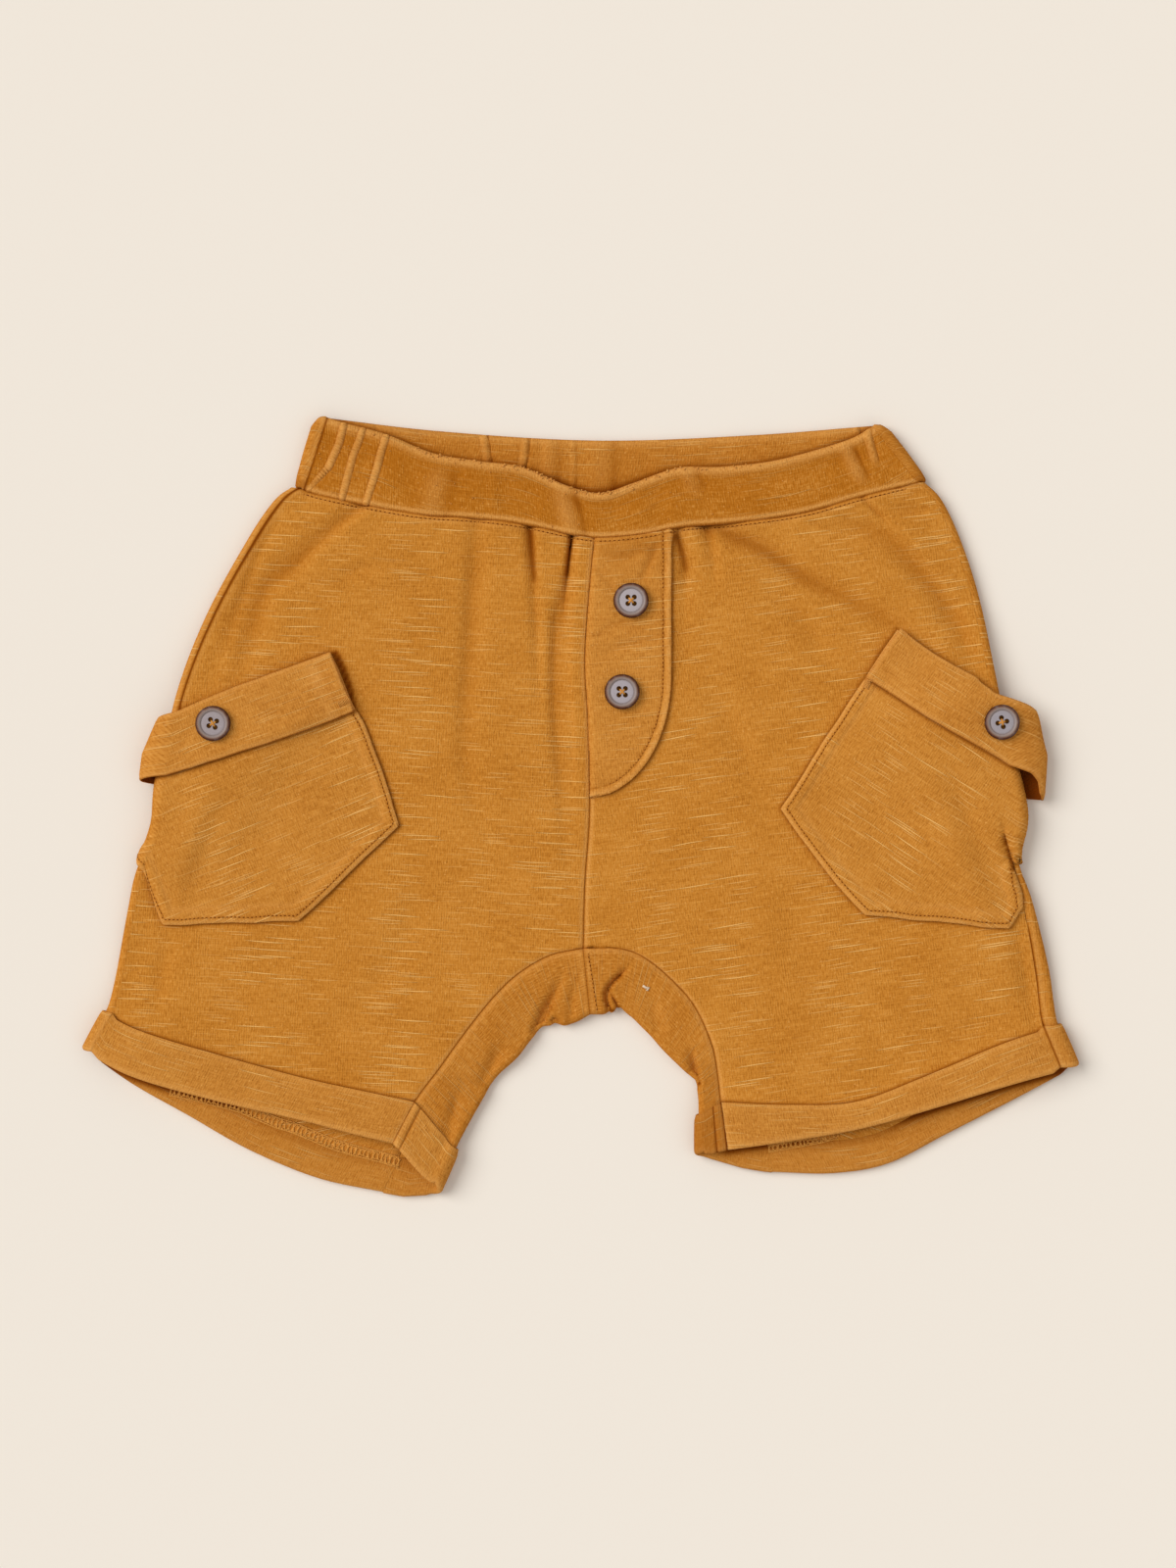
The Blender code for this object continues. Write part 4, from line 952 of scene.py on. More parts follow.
def front(side):
    frontEdge, _, shares = halfRows(side, panel)
    shares = np.concatenate([panel["topShares"], shares[shares > panel["evenAfter"]]])
    frontEdge = atShares(frontEdge, shares)
    outer = sideSeam(side, foldRows(side, shares))
    spread = edged(panel["columns"])
    top = partOfSeam(frontSeamLine, frontEdge[0, 0], outer[0, 0], spread)
    bottom = atShares(hemToSeam(side, 0), spread)
    top[0], top[-1], bottom[0], bottom[-1] = frontEdge[0], outer[0], frontEdge[-1], outer[-1]
    plan = coons(top, bottom, frontEdge, outer, shares)
    plan = np.concatenate([plan, runOn(plan[-1], cuffPlanFront(side)[-1], 3)])
    grid = trimmed(sheetGrid(plan, frontHeight), panel["gap"], ("top", "left"))
    edges, plan = edgeDistance(grid), grid[..., :2]
    shows = seamShows(side, plan[..., 1])
    wearAndHighlight = edgeMarks(edges, panel["wearAndHighlight"]) + shows * edgeMarks(edges, panel["seamWorn"])
    # painted shade from the folds, seams and edges, and along the side seam where it shows
    paintedShade = paintedShadeMark(plan, side) + shows * edgeMarks(edges, panel["seamPaintedShade"])
    uv = grainUv(plan, panel["grainDeg"][side])
    return sewn(f"front_{side}", grid, panel["thickness"], -signOf[side], "panel", uv, wearAndHighlight, paintedShade)


backPanel = {
    "thickness": 0.9,
    "bodyRows": 84,
    "legRows": 40,
    "columns": 70,
    "foldSteps": 9,
    "gap": 0.1,
    "lead": (1.0, 0.93, 0.84, 0.7, 0.5, 0.25),  # shares of the strip from the side seam to the fold
    "hemClear": 2.0,
    "wearAndHighlight": (("top", 0.3, 1.0, 1.0),),
    "seamWorn": (("left", 0.5, 1.4, 0.8),),
    "seamPaintedShade": (("left", 0.85, 0.0, 0.5),),
}
backSpread = np.append((np.linspace(0, 1, backPanel["columns"] + 1) ** 1.15)[:-1], (0.997, 1.0))


def lip(side, y):
    # the back's strip from the side seam round the fold
    centre, top = foldCentre(side, y)[:, None], seamAway(side, y)[:, None]
    turn = np.broadcast_to(np.linspace(0.0, halfTurn, backPanel["foldSteps"] + 1), (len(y), backPanel["foldSteps"] + 1))
    run = np.concatenate([top * np.array(backPanel["lead"]), turn], axis=1)
    return onGarment(side, centre + signOf[side] * run, np.broadcast_to(y[:, None], run.shape))[0]


def cuffGridBack(side):
    hem = hemLines[side]
    fold = lip(side, np.array([hem[0, 1], hem[0, 3]]))
    inner = smoothRows(innerLegs[side], 1, first=len(innerLegs[side]) - 2)
    start, end = fold[1, -1, :2], inner[1, 4:6]
    past = signOf[side] * (start[0] - hem[:, 4]) > backPanel["hemClear"]
    bottom = atShares(np.vstack([start, hem[past, 4:6][:-1], end]), backSpread)
    along = unit(np.gradient(bottom, axis=0))
    up = np.stack([along[:, 1], -along[:, 0]], axis=1)
    top = bottom + up * np.sign(up[:, 1:2]) * lie["cuffDepth"]
    top[0], top[-1] = fold[0, -1, :2], inner[0, 4:6]
    return np.concatenate([fold, sheetGrid(np.stack([top, bottom])[:, 1:], backHeight)], axis=1)


def back(side):
    _, backEdge, shares = halfRows(side, backPanel)
    fold = lip(side, foldRows(side, shares))
    underOuter = fold[:, -1, :2]
    cuffEnds = cuffGridBack(side)
    top = partOfSeam(backSeamLine, underOuter[0, 0], backEdge[0, 0], backSpread)
    top[0], top[-1] = underOuter[0], backEdge[0]
    plan = coons(top, cuffEnds[0, -len(backSpread) :, :2], underOuter, backEdge, shares)[:, 1:]
    grid = np.concatenate([fold, sheetGrid(plan, backHeight)], axis=1)
    grid = np.concatenate([grid, runOn(cuffEnds[0], cuffEnds[-1], 2)])
    grid = trimmed(grid, backPanel["gap"], ("top", "right"))
    edges = edgeDistance(grid)
    shows = seamShows(side, grid[..., 1])
    wearAndHighlight = edgeMarks(edges, backPanel["wearAndHighlight"]) + shows * edgeMarks(edges, backPanel["seamWorn"])
    # painted shade along the side seam where it shows
    paintedShade = shows * edgeMarks(edges, backPanel["seamPaintedShade"])
    return sewn(f"back_{side}", grid, backPanel["thickness"], -signOf[side], "back", None, wearAndHighlight, paintedShade)


legBand = {
    "thickness": 0.9,
    "rows": 190,
    "topSteps": 38,
    "foldSteps": 12,
    "underSteps": 11,
    "gap": 0.1,
    "tuckDraws": 0.25,  # how far a tuck draws the fold in, as a share of its depth
    "tuckLimits": (1.6, 2.4),  # deepest drop at the fold and on top
    "topFrom": 0.6,
    "wearAndHighlight": (("left", 0.45, 0.9, 0.8), ("top", 0.3, 1.0, 0.8)),
    "paintedShade": (("left", 0.35, 0.0, 0.5), ("top", 0.3, 0.0, 0.5)),
}


def legSections(rows):
    frontSeam, fold, backSeam = rows[:, 0:2], rows[:, 2:4], rows[:, 4:6]
    inward = unit(frontSeam - fold)
    notch = np.zeros(len(fold))
    for place, (_, _, deep, half) in zip(fromPhoto(legNotches), legNotches):
        notch += deep * near(np.linalg.norm(fold - place[:2], axis=1), half)
    centre = fold + inward * (foldReach + notch[:, None])
    topSteps = edged(legBand["topSteps"])[:-1]
    top = np.stack([frontSeam + (centre - frontSeam) * t for t in topSteps], axis=1)
    underSteps = np.append(np.linspace(0.0, 1.0, legBand["underSteps"] + 1)[1:-1], (0.985, 1.0))
    under = np.stack([centre + (backSeam - centre) * t for t in underSteps], axis=1)
    foldZ = backHeight(centre[:, 0], centre[:, 1]) + foldRadius
    tuck = foldDepth(centre[:, 0], centre[:, 1], legTraces)
    mostFold, mostTop = legBand["tuckLimits"]
    arc = []
    for angle in np.linspace(0.0, math.pi, legBand["foldSteps"] + 1):
        outwards = (foldRadius - legBand["tuckDraws"] * tuck[:, None]) * math.sin(angle)
        drop = np.minimum(tuck, mostFold) * 0.5 * (1 + math.cos(angle))
        arc.append(np.column_stack([centre - inward * outwards, foldZ + foldRadius * math.cos(angle) - drop]))
    over = sheetGrid(top, frontHeight)
    over[..., 2] -= np.minimum(foldDepth(over[..., 0], over[..., 1], legTraces), mostTop)
    return np.concatenate([over, np.stack(arc, axis=1), sheetGrid(under, backHeight)], axis=1)


def innerLeg(side):
    leg = smoothRows(innerLegs[side], legBand["rows"], last=len(innerLegs[side]) - 2)
    grid = legSections(np.vstack([leg, runOn(leg[-1], innerLines[side][-1], 3)]))
    grid = trimmed(grid, legBand["gap"], ("top", "left", "right"))
    edges = edgeDistance(grid)
    onTop = grid[..., 2] > foldReach + legBand["topFrom"]
    deep = np.clip(foldDepth(grid[..., 0], grid[..., 1], legTraces) - 0.8, 0.0, 2.6)
    # painted shade along the seams and in the tucks, darkest in their hollows
    paintedShade = edgeMarks(edges, legBand["paintedShade"]) + 0.4 * onTop * deep
    for dark, reach, points in legShades:
        paintedShade = np.maximum(paintedShade, dark * onTop * near(awayFrom(fromPhoto(points), grid), reach))
    u, v = np.moveaxis(gridUv(grid), -1, 0)
    uv = np.stack(np.broadcast_arrays(u.mean(axis=0), v.mean(axis=1)[:, None]), axis=-1)
    wearAndHighlight, paintedShade = edgeMarks(edges, legBand["wearAndHighlight"]), np.clip(paintedShade, 0, 0.95)
    return sewn(f"inner_leg_{side}", grid, legBand["thickness"], signOf[side], "inner_leg", uv, wearAndHighlight, paintedShade)


cuff = {
    "thickness": 0.9,
    "overSteps": 14,
    "turnSteps": 7,
    "innerSteps": 10,
    "gap": 0.03,
    "waves": ((11.0, 0.16, 41), (4.0, 0.06, 42)),
    "lifts": {"front": 0.25, "back": 0.0, "inner": 0.25},  # how much lower the top edge lies
    "allowances": {"front": 0.0, "back": 0.0, "inner": 1.0},
    "droop": {  # columns from the front seam round the fold, and how far the hem falls there
        "left": ((0, 25, 32, 38, 44, 51, 56, 59, 62), (0.0, 0.0, -0.7, -1.9, 0.0, 2.9, 2.5, 1.2, 0.0)),
        "right": ((0, 25, 32, 38, 44, 51, 56, 59, 62), (0.0, 0.0, -0.4, -1.3, -0.5, 0.9, 1.3, 0.8, 0.0)),
    },
    "seams": {"cuff_left_back": (), "cuff_right_front": ("left", "right")},  # the others show their left one
    "seamPaintedShade": (0.65, 0.45),
    "shade": {"cuff_right_inner": 0.34},
    "insideShade": 0.16,
    "underBelow": 4.0,
    "wearAndHighlight": (("top", 0.45, 0.6, 0.7), ("left", 0.5, 0.8, 0.8)),
}


def turnedCuff(side, part, base, outward):
    # base holds the sheet's points at the cuff's top edge and at its hem
    name, allowance = f"cuff_{side}_{part}", cuff["allowances"][part]
    top, hem = base[0], base[-1]
    depth = np.linalg.norm(hem - top, axis=-1, keepdims=True)
    turnRadius = layer / 2
    down = (hem - top) / depth
    middle = top + (hem - top) * (1 - (turnRadius + lie["cloth"] / 2) / depth)
    flat = gridNormals(np.stack([top, (top + hem) / 2, hem]), outward)[1]
    overShares = np.linspace(0.0, 1.0, cuff["overSteps"] + 1)[:, None, None]
    ripple = waves(top[:, 0], top[:, 1] * 0.3, cuff["waves"])[:, None]
    snug = layer - cuff["lifts"][part] * (1 - fade(overShares * 5.0)) + np.sin(overShares * math.pi) * np.abs(ripple)
    fromSeam = runOf(top)[:, None]
    strip = allowance * (0.4 * fade((2.6 - fromSeam) / 0.7) - 0.3 * near(fromSeam - 2.8, 0.5))
    over = top + (middle - top) * overShares + flat * (snug + strip)
    turn = [
        middle + flat * (turnRadius + strip * 0.5) * (1 + math.cos(angle)) + down * turnRadius * math.sin(angle)
        for angle in np.linspace(0, math.pi, cuff["turnSteps"] + 1)[1:-1]
    ]
    start = top + (hem - top) * lie["cuffOverlap"]
    inside = start + (middle - start) * np.linspace(1.0, 0.0, cuff["innerSteps"] + 1)[:, None, None]
    grid = trimmed(np.concatenate([over, np.stack(turn), inside]), cuff["gap"], ("left", "right"))
    edges = edgeDistance(grid)
    turnRun = edges["top"][cuff["overSteps"]][None]
    onTop = edges["top"] < turnRun + 1.5
    wearAndHighlight = 0.7 * near(edges["top"] - turnRun - 0.6, 1.3) + edgeMarks(edges, cuff["wearAndHighlight"])
    amount, reach = cuff["seamPaintedShade"]
    # painted shade near the turned-in end, along the seams and the allowance, on the inside and under the front hem
    paintedShade = 0.2 * near(edges["bottom"], 3.0)
    for edge in cuff["seams"].get(name, ("left",)):
        paintedShade += amount * near(edges[edge], reach) * onTop
    paintedShade += allowance * onTop * 0.5 * near(fromSeam.T - 2.8, 0.4)
    paintedShade += cuff["shade"].get(name, 0.0) * onTop + cuff["insideShade"] * ~onTop
    paintedShade += 0.8 * (grid[..., 2] < cuff["underBelow"]) * near(awayFrom(hemLines[side][::3, 2:4], grid), 1.6)
    thickness = cuff["thickness"] * (0.6 + 0.4 * fade(edges["top"] / 1.5))
    piece = sewn(name, grid, thickness, outward, "cuff", None, wearAndHighlight, paintedShade, roll=0.3)
    piece.data.set_sharp_from_angle(angle=math.radians(60))
    return piece


def cuffs(side):
    innerBase = legSections(smoothRows(innerLegs[side], 1, first=len(innerLegs[side]) - 2))
    droop = np.interp(np.arange(innerBase.shape[1]), *cuff["droop"][side])
    innerBase[-1] += unit(innerBase[-1] - innerBase[0]) * droop[:, None]
    bases = {"front": sheetGrid(cuffPlanFront(side), frontHeight), "back": cuffGridBack(side), "inner": innerBase}
    outward = {"front": -signOf[side], "back": -signOf[side], "inner": signOf[side]}
    return {f"cuff_{side}_{part}": turnedCuff(side, part, base, outward[part]) for part, base in bases.items()}


waistband = {
    "places": ((0.0, 2.2, 110), (2.2, 11.4, 150), (11.4, 13.0, 60)),  # stations, and columns between them
    "rows": 30,
    "backColumns": 300,
    "gap": 0.1,
    "thickness": ((0.0, 0.03, 0.08, 0.5, 0.9, 0.97, 1.0), (1.1, 1.7, 2.0, 2.2, 2.15, 1.8, 1.3)),  # down the band
    "gathers": ((6.0, 0.2, 51), (2.6, 0.12, 52)),
    "insideWaves": ((9.0, 0.5, 53), (3.6, 0.2, 54)),
    "ridges": (  # half width of each gather, then its run: pixels and height
        (0.55, ((351, 432, 0.8), (346, 452, 0.9), (335, 477, 0.9), (314, 499, 0.4))),
        (0.5, ((371, 435, 0.8), (366, 450, 0.8), (360, 465, 0.8), (348, 511, 0.8))),
        (0.55, ((395, 442, 0.8), (389, 460, 0.9), (384, 480, 0.9), (373, 514, 0.7))),
        (0.8, ((885, 442, 0.5), (887, 449, 0.7), (892, 468, 0.5), (894, 476, 0.0))),
        (1.8, ((861, 450, 0.0), (864, 460, 0.5), (875, 484, 0.5), (880, 496, 0.0))),
        (2.6, ((571, 493, 0.3), (574, 508, 0.5), (580, 530, 0.5), (583, 546, 0.4))),
        (2.2, ((700, 480, 0.3), (706, 495, 0.3), (712, 512, 0.0))),
        (3.0, ((450, 470, 0.0), (446, 490, 0.35), (440, 520, 0.3))),
    ),
    "insideRidges": (  # the same for what shows inside the back band
        (0.65, ((493, 442, 0.9), (495, 455, 1.0), (498, 476, 0.9))),
        (0.6, ((536, 445, 0.8), (535, 460, 1.0), (531, 482, 0.9))),
        (0.6, ((584, 447, 0.5), (585, 470, 0.5), (584, 500, 0.4))),
        (0.6, ((874, 430, 0.6), (875, 440, 0.6), (877, 452, 0.3))),
        (2.2, ((560, 446, 0.3), (559, 470, 0.4), (557, 490, 0.3))),
        (2.6, ((612, 449, 0.3), (613, 470, 0.4), (612, 500, 0.3))),
    ),
    "swell": ((0.0, 0.14, 0.5, 0.86, 1.0), (0.0, 1.5, 1.2, 0.6, 0.0)),  # down the band at its ends
    "lead": (0.0, 0.2, 0.4, 0.6, 0.8),
    "endSteps": 10,
    "insideBelow": 4.0,
    "wearAndHighlight": (("top", 0.95, 0.7, 1.3), ("bottom", 1.3, 0.8, 0.6)),
    "paintedShade": (("bottom", 0.2, 0.0, 0.3), ("left", 0.6, 0.0, 0.5)),
    "backWorn": (("top", 0.5, 0.6, 1.3), ("left", 0.4, 0.8, 0.8)),
    "backPaintedShade": (("bottom", 0.35, 0.0, 4.0), ("left", 0.4, 0.0, 0.4)),
}
downBand = edged(waistband["rows"], 0.5)
bandThickness = np.interp(downBand, *waistband["thickness"])
bandMiddle = lie["bandCloth"] / 2


def waistColumns():
    table, last = smoothRows(waistStations, 260), len(waistStations) - 1.0
    columns = [np.linspace(first, end, steps, endpoint=False) for first, end, steps in waistband["places"]]
    return sampled(table, np.linspace(0, last, len(table)), np.append(np.concatenate(columns), last))


def gatherRelief(plan, ridges):
    # ridges with a groove on their right, and how much each place lies in a groove or on a crest, for painted shade in
    # the grooves and painted highlight on the crests
    relief, grooveShade, crestHighlight = (np.zeros(plan.shape[:2]) for k in range(3))
    for half, points in ridges:
        line = fromPhoto(points)[::-1]
        middle = np.interp(plan[..., 1], line[:, 1], line[:, 0])
        high = np.interp(plan[..., 1], line[:, 1], line[:, 2])
        off = (plan[..., 0] - middle) / half
        relief += high * (near(off, 1.0) - 0.5 * near(off - 1.9, 0.8) - 0.2 * near(off + 2.2, 1.0))
        grooveShade += high * near(off - 1.7, 0.6)
        crestHighlight += high * near(off, 1.1)
    return relief, grooveShade, crestHighlight


def waistbandPiece(node, grid, outward, finish, wearAndHighlight, paintedShade):
    thick = np.broadcast_to(bandThickness[:, None], grid.shape[:2])
    return sewn(node, grid, thick, outward, finish, None, wearAndHighlight, paintedShade, roll=0.8)


def waistbandFront(columns):
    plan = columns[None, :, 0:2] + (columns[:, 2:4] - columns[:, 0:2])[None] * downBand[:, None, None]
    ends = np.minimum(plan[..., 0] - plan[:, :1, 0], plan[:, -1:, 0] - plan[..., 0])
    relief, grooveShade, crestHighlight = gatherRelief(plan, waistband["ridges"])
    gathers = 1.3 * waves(columns[:, 0], 0 * columns[:, 0], waistband["gathers"])
    relief = relief + gathers[None] * np.sin(math.pi * np.clip(downBand, 0.08, 1))[:, None]
    relief += (0.35 * near(downBand - 0.06, 0.06) - 0.35 * near(downBand - 0.3, 0.16))[:, None]
    height = bandMiddle + 2 * foldRadius + 0.7 * fade(ends / 40.0) + fade(ends / 4.0) * relief
    grid = trimmed(np.dstack([plan, height]), waistband["gap"], ("bottom", "left", "right"))
    edges = edgeDistance(grid)
    # the crests of the gathers are painted lighter as highlight, over the band's wear
    wearAndHighlight = edgeMarks(edges, waistband["wearAndHighlight"]) + 1.1 * crestHighlight
    # painted shade along the edges, in the grooves and in the hollow across the band
    paintedShade = edgeMarks(edges, waistband["paintedShade"]) + 0.75 * grooveShade + 0.14 * near(downBand - 0.28, 0.14)[:, None]
    return waistbandPiece("waistband_front", grid, -1.0, "waistband", wearAndHighlight, paintedShade)


def bandEnd(columns, under, end, sign):
    # from the front band's end round to the back band
    meeting = columns[end, 0:2] + (columns[end, 2:4] - columns[end, 0:2]) * downBand[:, None]
    seamPoints = np.column_stack([meeting, np.full(len(downBand), bandMiddle + 2 * foldRadius)])
    reach = np.interp(downBand, *waistband["swell"]) - foldRadius - bandThickness / 2
    outline, arc = under[:, end, :2], []
    for angle in np.linspace(0.0, math.pi, waistband["endSteps"]):
        x = outline[:, 0] + sign * (foldRadius * math.sin(angle) + reach)
        z = np.full(len(downBand), bandMiddle + foldRadius * (1 + math.cos(angle)))
        arc.append(np.column_stack([x, outline[:, 1], z]))
    lead = [seamPoints + (arc[0] - seamPoints) * t for t in waistband["lead"]]
    return np.stack(lead + arc, axis=1)


def waistbandBack(columns):
    top, seam = (smoothRows(rows, waistband["backColumns"]) for rows in (backWaistTop, backWaistSeam))
    plan = top[None] + (seam - top)[None] * downBand[:, None, None]
    relief, grooveShade, crestHighlight = gatherRelief(plan, waistband["insideRidges"])
    lift = np.maximum(np.abs(waves(plan[..., 0], plan[..., 1] * 0.2, waistband["insideWaves"])) + relief, 0.0)
    inset = fade(np.minimum(downBand + 0.06, 1 - downBand) * 9)[:, None]
    under = np.dstack([plan, bandMiddle + lift * inset])
    left, right = bandEnd(columns, under, 0, -1.0), bandEnd(columns, under, -1, 1.0)
    ring = np.concatenate([left, under[:, 1:-1], right[:, ::-1]], axis=1)
    ring = trimmed(ring, waistband["gap"], ("bottom", "left", "right"))
    edges = edgeDistance(ring)
    grooveShade, crestHighlight = (np.pad(mark[:, 1:-1], ((0, 0), (left.shape[1], right.shape[1]))) for mark in (grooveShade, crestHighlight))
    # painted shadow of the front band's rim on the inside of the back band
    toRim = awayFrom(columns[::8, 0:2], ring)
    toRim = 0.6 * near(toRim, 1.7) + 0.25 * near(toRim, 6.0) * near(ring[..., 0] - 8.0, 22.0)
    inside = ring[..., 2] < waistband["insideBelow"]
    paintedShade = edgeMarks(edges, waistband["backPaintedShade"]) + 0.6 * grooveShade + inside * toRim
    # the crests inside are painted lighter as highlight, over the band's wear
    wearAndHighlight = edgeMarks(edges, waistband["backWorn"]) + 0.5 * crestHighlight
    return waistbandPiece("waistband_back", ring, 1.0, "waistband_back", wearAndHighlight, paintedShade)


pocket = {
    "thickness": 0.9,
    "columns": 124,
    "rows": 120,
    "hemWidth": 4.6,
    "hemRise": 0.4,
    "stitchAt": 1.5,
    "pointSlope": 0.86,  # how near the slanted lower edge is for a distance straight down
    "innerBulge": {"left": 1.5, "right": 0.2},  # how far the inner side and the edge below it bow out
    "pointBulge": {"left": 0.2, "right": 1.2},
    "loopShade": {"left": (69.5, 18.4, 1.7), "right": (65.0, 19.0, 2.6)},  # the hollow in the band's outer loop
    "innerFrom": 17.0,  # how far down the stitches reach up on the inner and on the outer side
    "outerFrom": {"left": 17.0, "right": 48.0},
    "tuckIn": {  # how far down, and how far the outer side turns in there
        "left": ((0.0, 80.0), (0.0, 0.0)),
        "right": (
            (36.0, 38.5, 40.5, 42.2, 43.6, 45.2, 47.5, 50.5, 54.0),
            (0.0, 1.4, 5.0, 9.4, 11.2, 10.2, 7.0, 2.8, 0.0),
        ),
    },
    "calm": {"left": (0.0, 0.1), "right": (40.3, 3.4)},  # where the outer edge bunches too close for its welt
    "tuckShade": {"left": (), "right": ((0.8, 0.6, ((1024, 854), (1027, 866), (1030, 876), (1033, 887))),)},
    "wearAndHighlight": (("rim", 0.85, 0.4, 0.5), ("rim", 0.25, 4.6, 0.9)),
    "paintedShade": (("rim", 0.22, 1.5, 0.35),),
}


def laidSurface(side, a, d, roundRun=halfTurn, bulge=(0.0, 0.0, 0.0)):
    # points and normals of the sheet under places a and d of a pocket's own frame
    corner, across, down = pocketFrame(side)
    x = corner[0] + a * across[0] + d * down[0]
    y = corner[1] + a * across[1] + d * down[1]
    points, normals = onGarment(side, x, y, roundRun)
    outwards = np.clip(normals[..., 0] * signOf[side], 0.0, 1.0)
    points[..., 0] += signOf[side] * outwards * np.interp(d / pocketBandDepth, (0.0, 0.5, 1.0), bulge)
    return points, normals


def pocketPlaces(side):
    # places across and down a pocket, how far in from its rim, where its welt shows and how far from each edge
    inner, outer, point = pocketPlans[side][3:]
    across = edged(pocket["columns"])
    bottom = np.interp(across, (0.0, 0.5, 1.0), (inner, (inner + outer) / 2 + point, outer))
    bottom += pocket["pointBulge"][side] * np.sin(math.pi * np.clip(across * 2, 0, 1))
    bottom += 0.25 * lineNoise(across * pocketWidth, 7.0, 63)
    d = edged(pocket["rows"])[:, None] * bottom[None]
    bow = pocket["innerBulge"][side] * np.sin(math.pi * d / inner) * fade((d - 16.0) / 10.0)
    bow = bow + 0.25 * lineNoise(d, 7.0, 64)
    tuck = np.interp(d, *pocket["tuckIn"][side])
    a = across[None] * pocketWidth - bow * (1 - across[None]) ** 3 - tuck * across[None] ** 7
    edges = edgeDistance(np.dstack([a, d, 0 * a]))
    rim = np.minimum(np.minimum(edges["left"], edges["right"]), edges["bottom"] * pocket["pointSlope"])
    place, reach = pocket["calm"][side]
    calm = 1 - near(d - place, reach) * fade((12.0 - edges["right"]) / 4.0)
    return a, d, rim, calm, edges


def pocketBorder(side):
    a, d = pocketPlaces(side)[:2]
    return framePoints(side, [*zip(a[::3, 0], d[::3, 0]), *zip(a[-1, ::3], d[-1, ::3])])


def pocketGrid(side):
    a, d, rim, calm = pocketPlaces(side)[:4]
    base, normals = laidSurface(side, a, d)
    fold = pocket["hemRise"] * fade((pocket["hemWidth"] - rim) / 1.4) * fade((rim + 0.6) / 1.4)
    fold += 0.07 * softNoise(a, d, 3.2, 61) * near(rim, 6.0) + 0.10 * np.abs(softNoise(a, d, 12.0, 62))
    fold -= 0.14 * near(rim - pocket["stitchAt"], 0.4)
    lift = (lie["cloth"] + pocket["thickness"]) / 2 + lie["layGap"] * fade((rim + 0.3) / 2.0) + fold * calm
    return base + normals * lift[..., None]


def pocketPiece(side):
    a, d, rim, calm = pocketPlaces(side)[:4]
    grid = pocketGrid(side)
    wearAndHighlight = edgeMarks({"rim": rim}, pocket["wearAndHighlight"])
    wearAndHighlight += 0.3 * near(rim - 3.0, 1.2) * np.abs(softNoise(a, d, 9.0, 65))
    # painted shade along the rim, under the band's lower edge, in the band's loop and along the tuck
    paintedShade = edgeMarks({"rim": rim}, pocket["paintedShade"]) * calm
    paintedShade += 0.5 * near(d - np.interp(a, *bandDepths[side]) - 0.3, 0.9)
    shadeA, shadeD, reach = pocket["loopShade"][side]
    paintedShade += 0.9 * near(np.hypot(a - shadeA, d - shadeD), reach)
    for dark, reach, points in pocket["tuckShade"][side]:
        paintedShade = np.maximum(paintedShade, dark * (grid[..., 2] > 4.0) * near(awayFrom(fromPhoto(points), grid), reach))
    uv = np.stack([a * signOf[side], -d], axis=-1)
    return sewn(f"pocket_{side}", grid, pocket["thickness"], -signOf[side], "pocket", uv, wearAndHighlight * calm, paintedShade)


pocketBand = {
    "thickness": 1.3,
    "columns": 130,
    "rows": 40,
    "clear": 0.2,
    "endLift": {"left": 1.3, "right": 0.5},
    "smear": {"left": 1.0, "right": 0.1},  # how rubbed its sewn end is
}


def pocketBandPiece(side):
    band = pocketBand
    a = bandInset + (pocketWidth - 2 * bandInset) * edged(band["columns"])[None] + np.zeros((band["rows"] + 1, 1))
    depth = np.interp(a, *bandDepths[side])
    d = bandBelow + (depth - bandBelow) * edged(band["rows"])[:, None]
    base, normals = laidSurface(side, a, d, halfTurn + bandExtraRun[side], bandBulges[side])
    rim = np.minimum(np.minimum(a, pocketWidth - a), np.minimum(d, depth - d))
    fold = waves(a, d, ((8.0, 0.10, 71), (3.4, 0.05, 72)))
    fold += band["endLift"][side] * near(a, 7.0) * np.sin(math.pi * np.clip(d / depth, 0.12, 0.9))
    lift = lie["cloth"] * 1.5 + 2 * lie["layGap"] + lie["pocketBandCloth"] / 2 + band["clear"] + fold
    thick = band["thickness"] * (0.6 + 0.4 * fade(rim / 1.6))
    smear = band["smear"][side] * fade(d / 3.0) * (0.6 + 0.4 * softNoise(a, d, 2.2, 73))
    wearAndHighlight = 0.6 * near(rim - 0.3, 0.8) + 0.6 * smear * near(a - 7.4, 2.2)
    # painted shade beside the rubbed end, round the rim, and on the faces that turn down past the fold
    paintedShade = 0.2 * smear * near(a - 4.6, 0.9) + 0.3 * near(rim, 0.3)
    shade = 0.9 * fade(0.6 - normals[..., 2])
    uv, grid = np.stack([a * signOf[side], -d], axis=-1), base + normals * lift[..., None]
    return sewn(f"pocket_band_{side}", grid, thick, -signOf[side], "pocket_band", uv, wearAndHighlight, paintedShade, 0.9, shade)


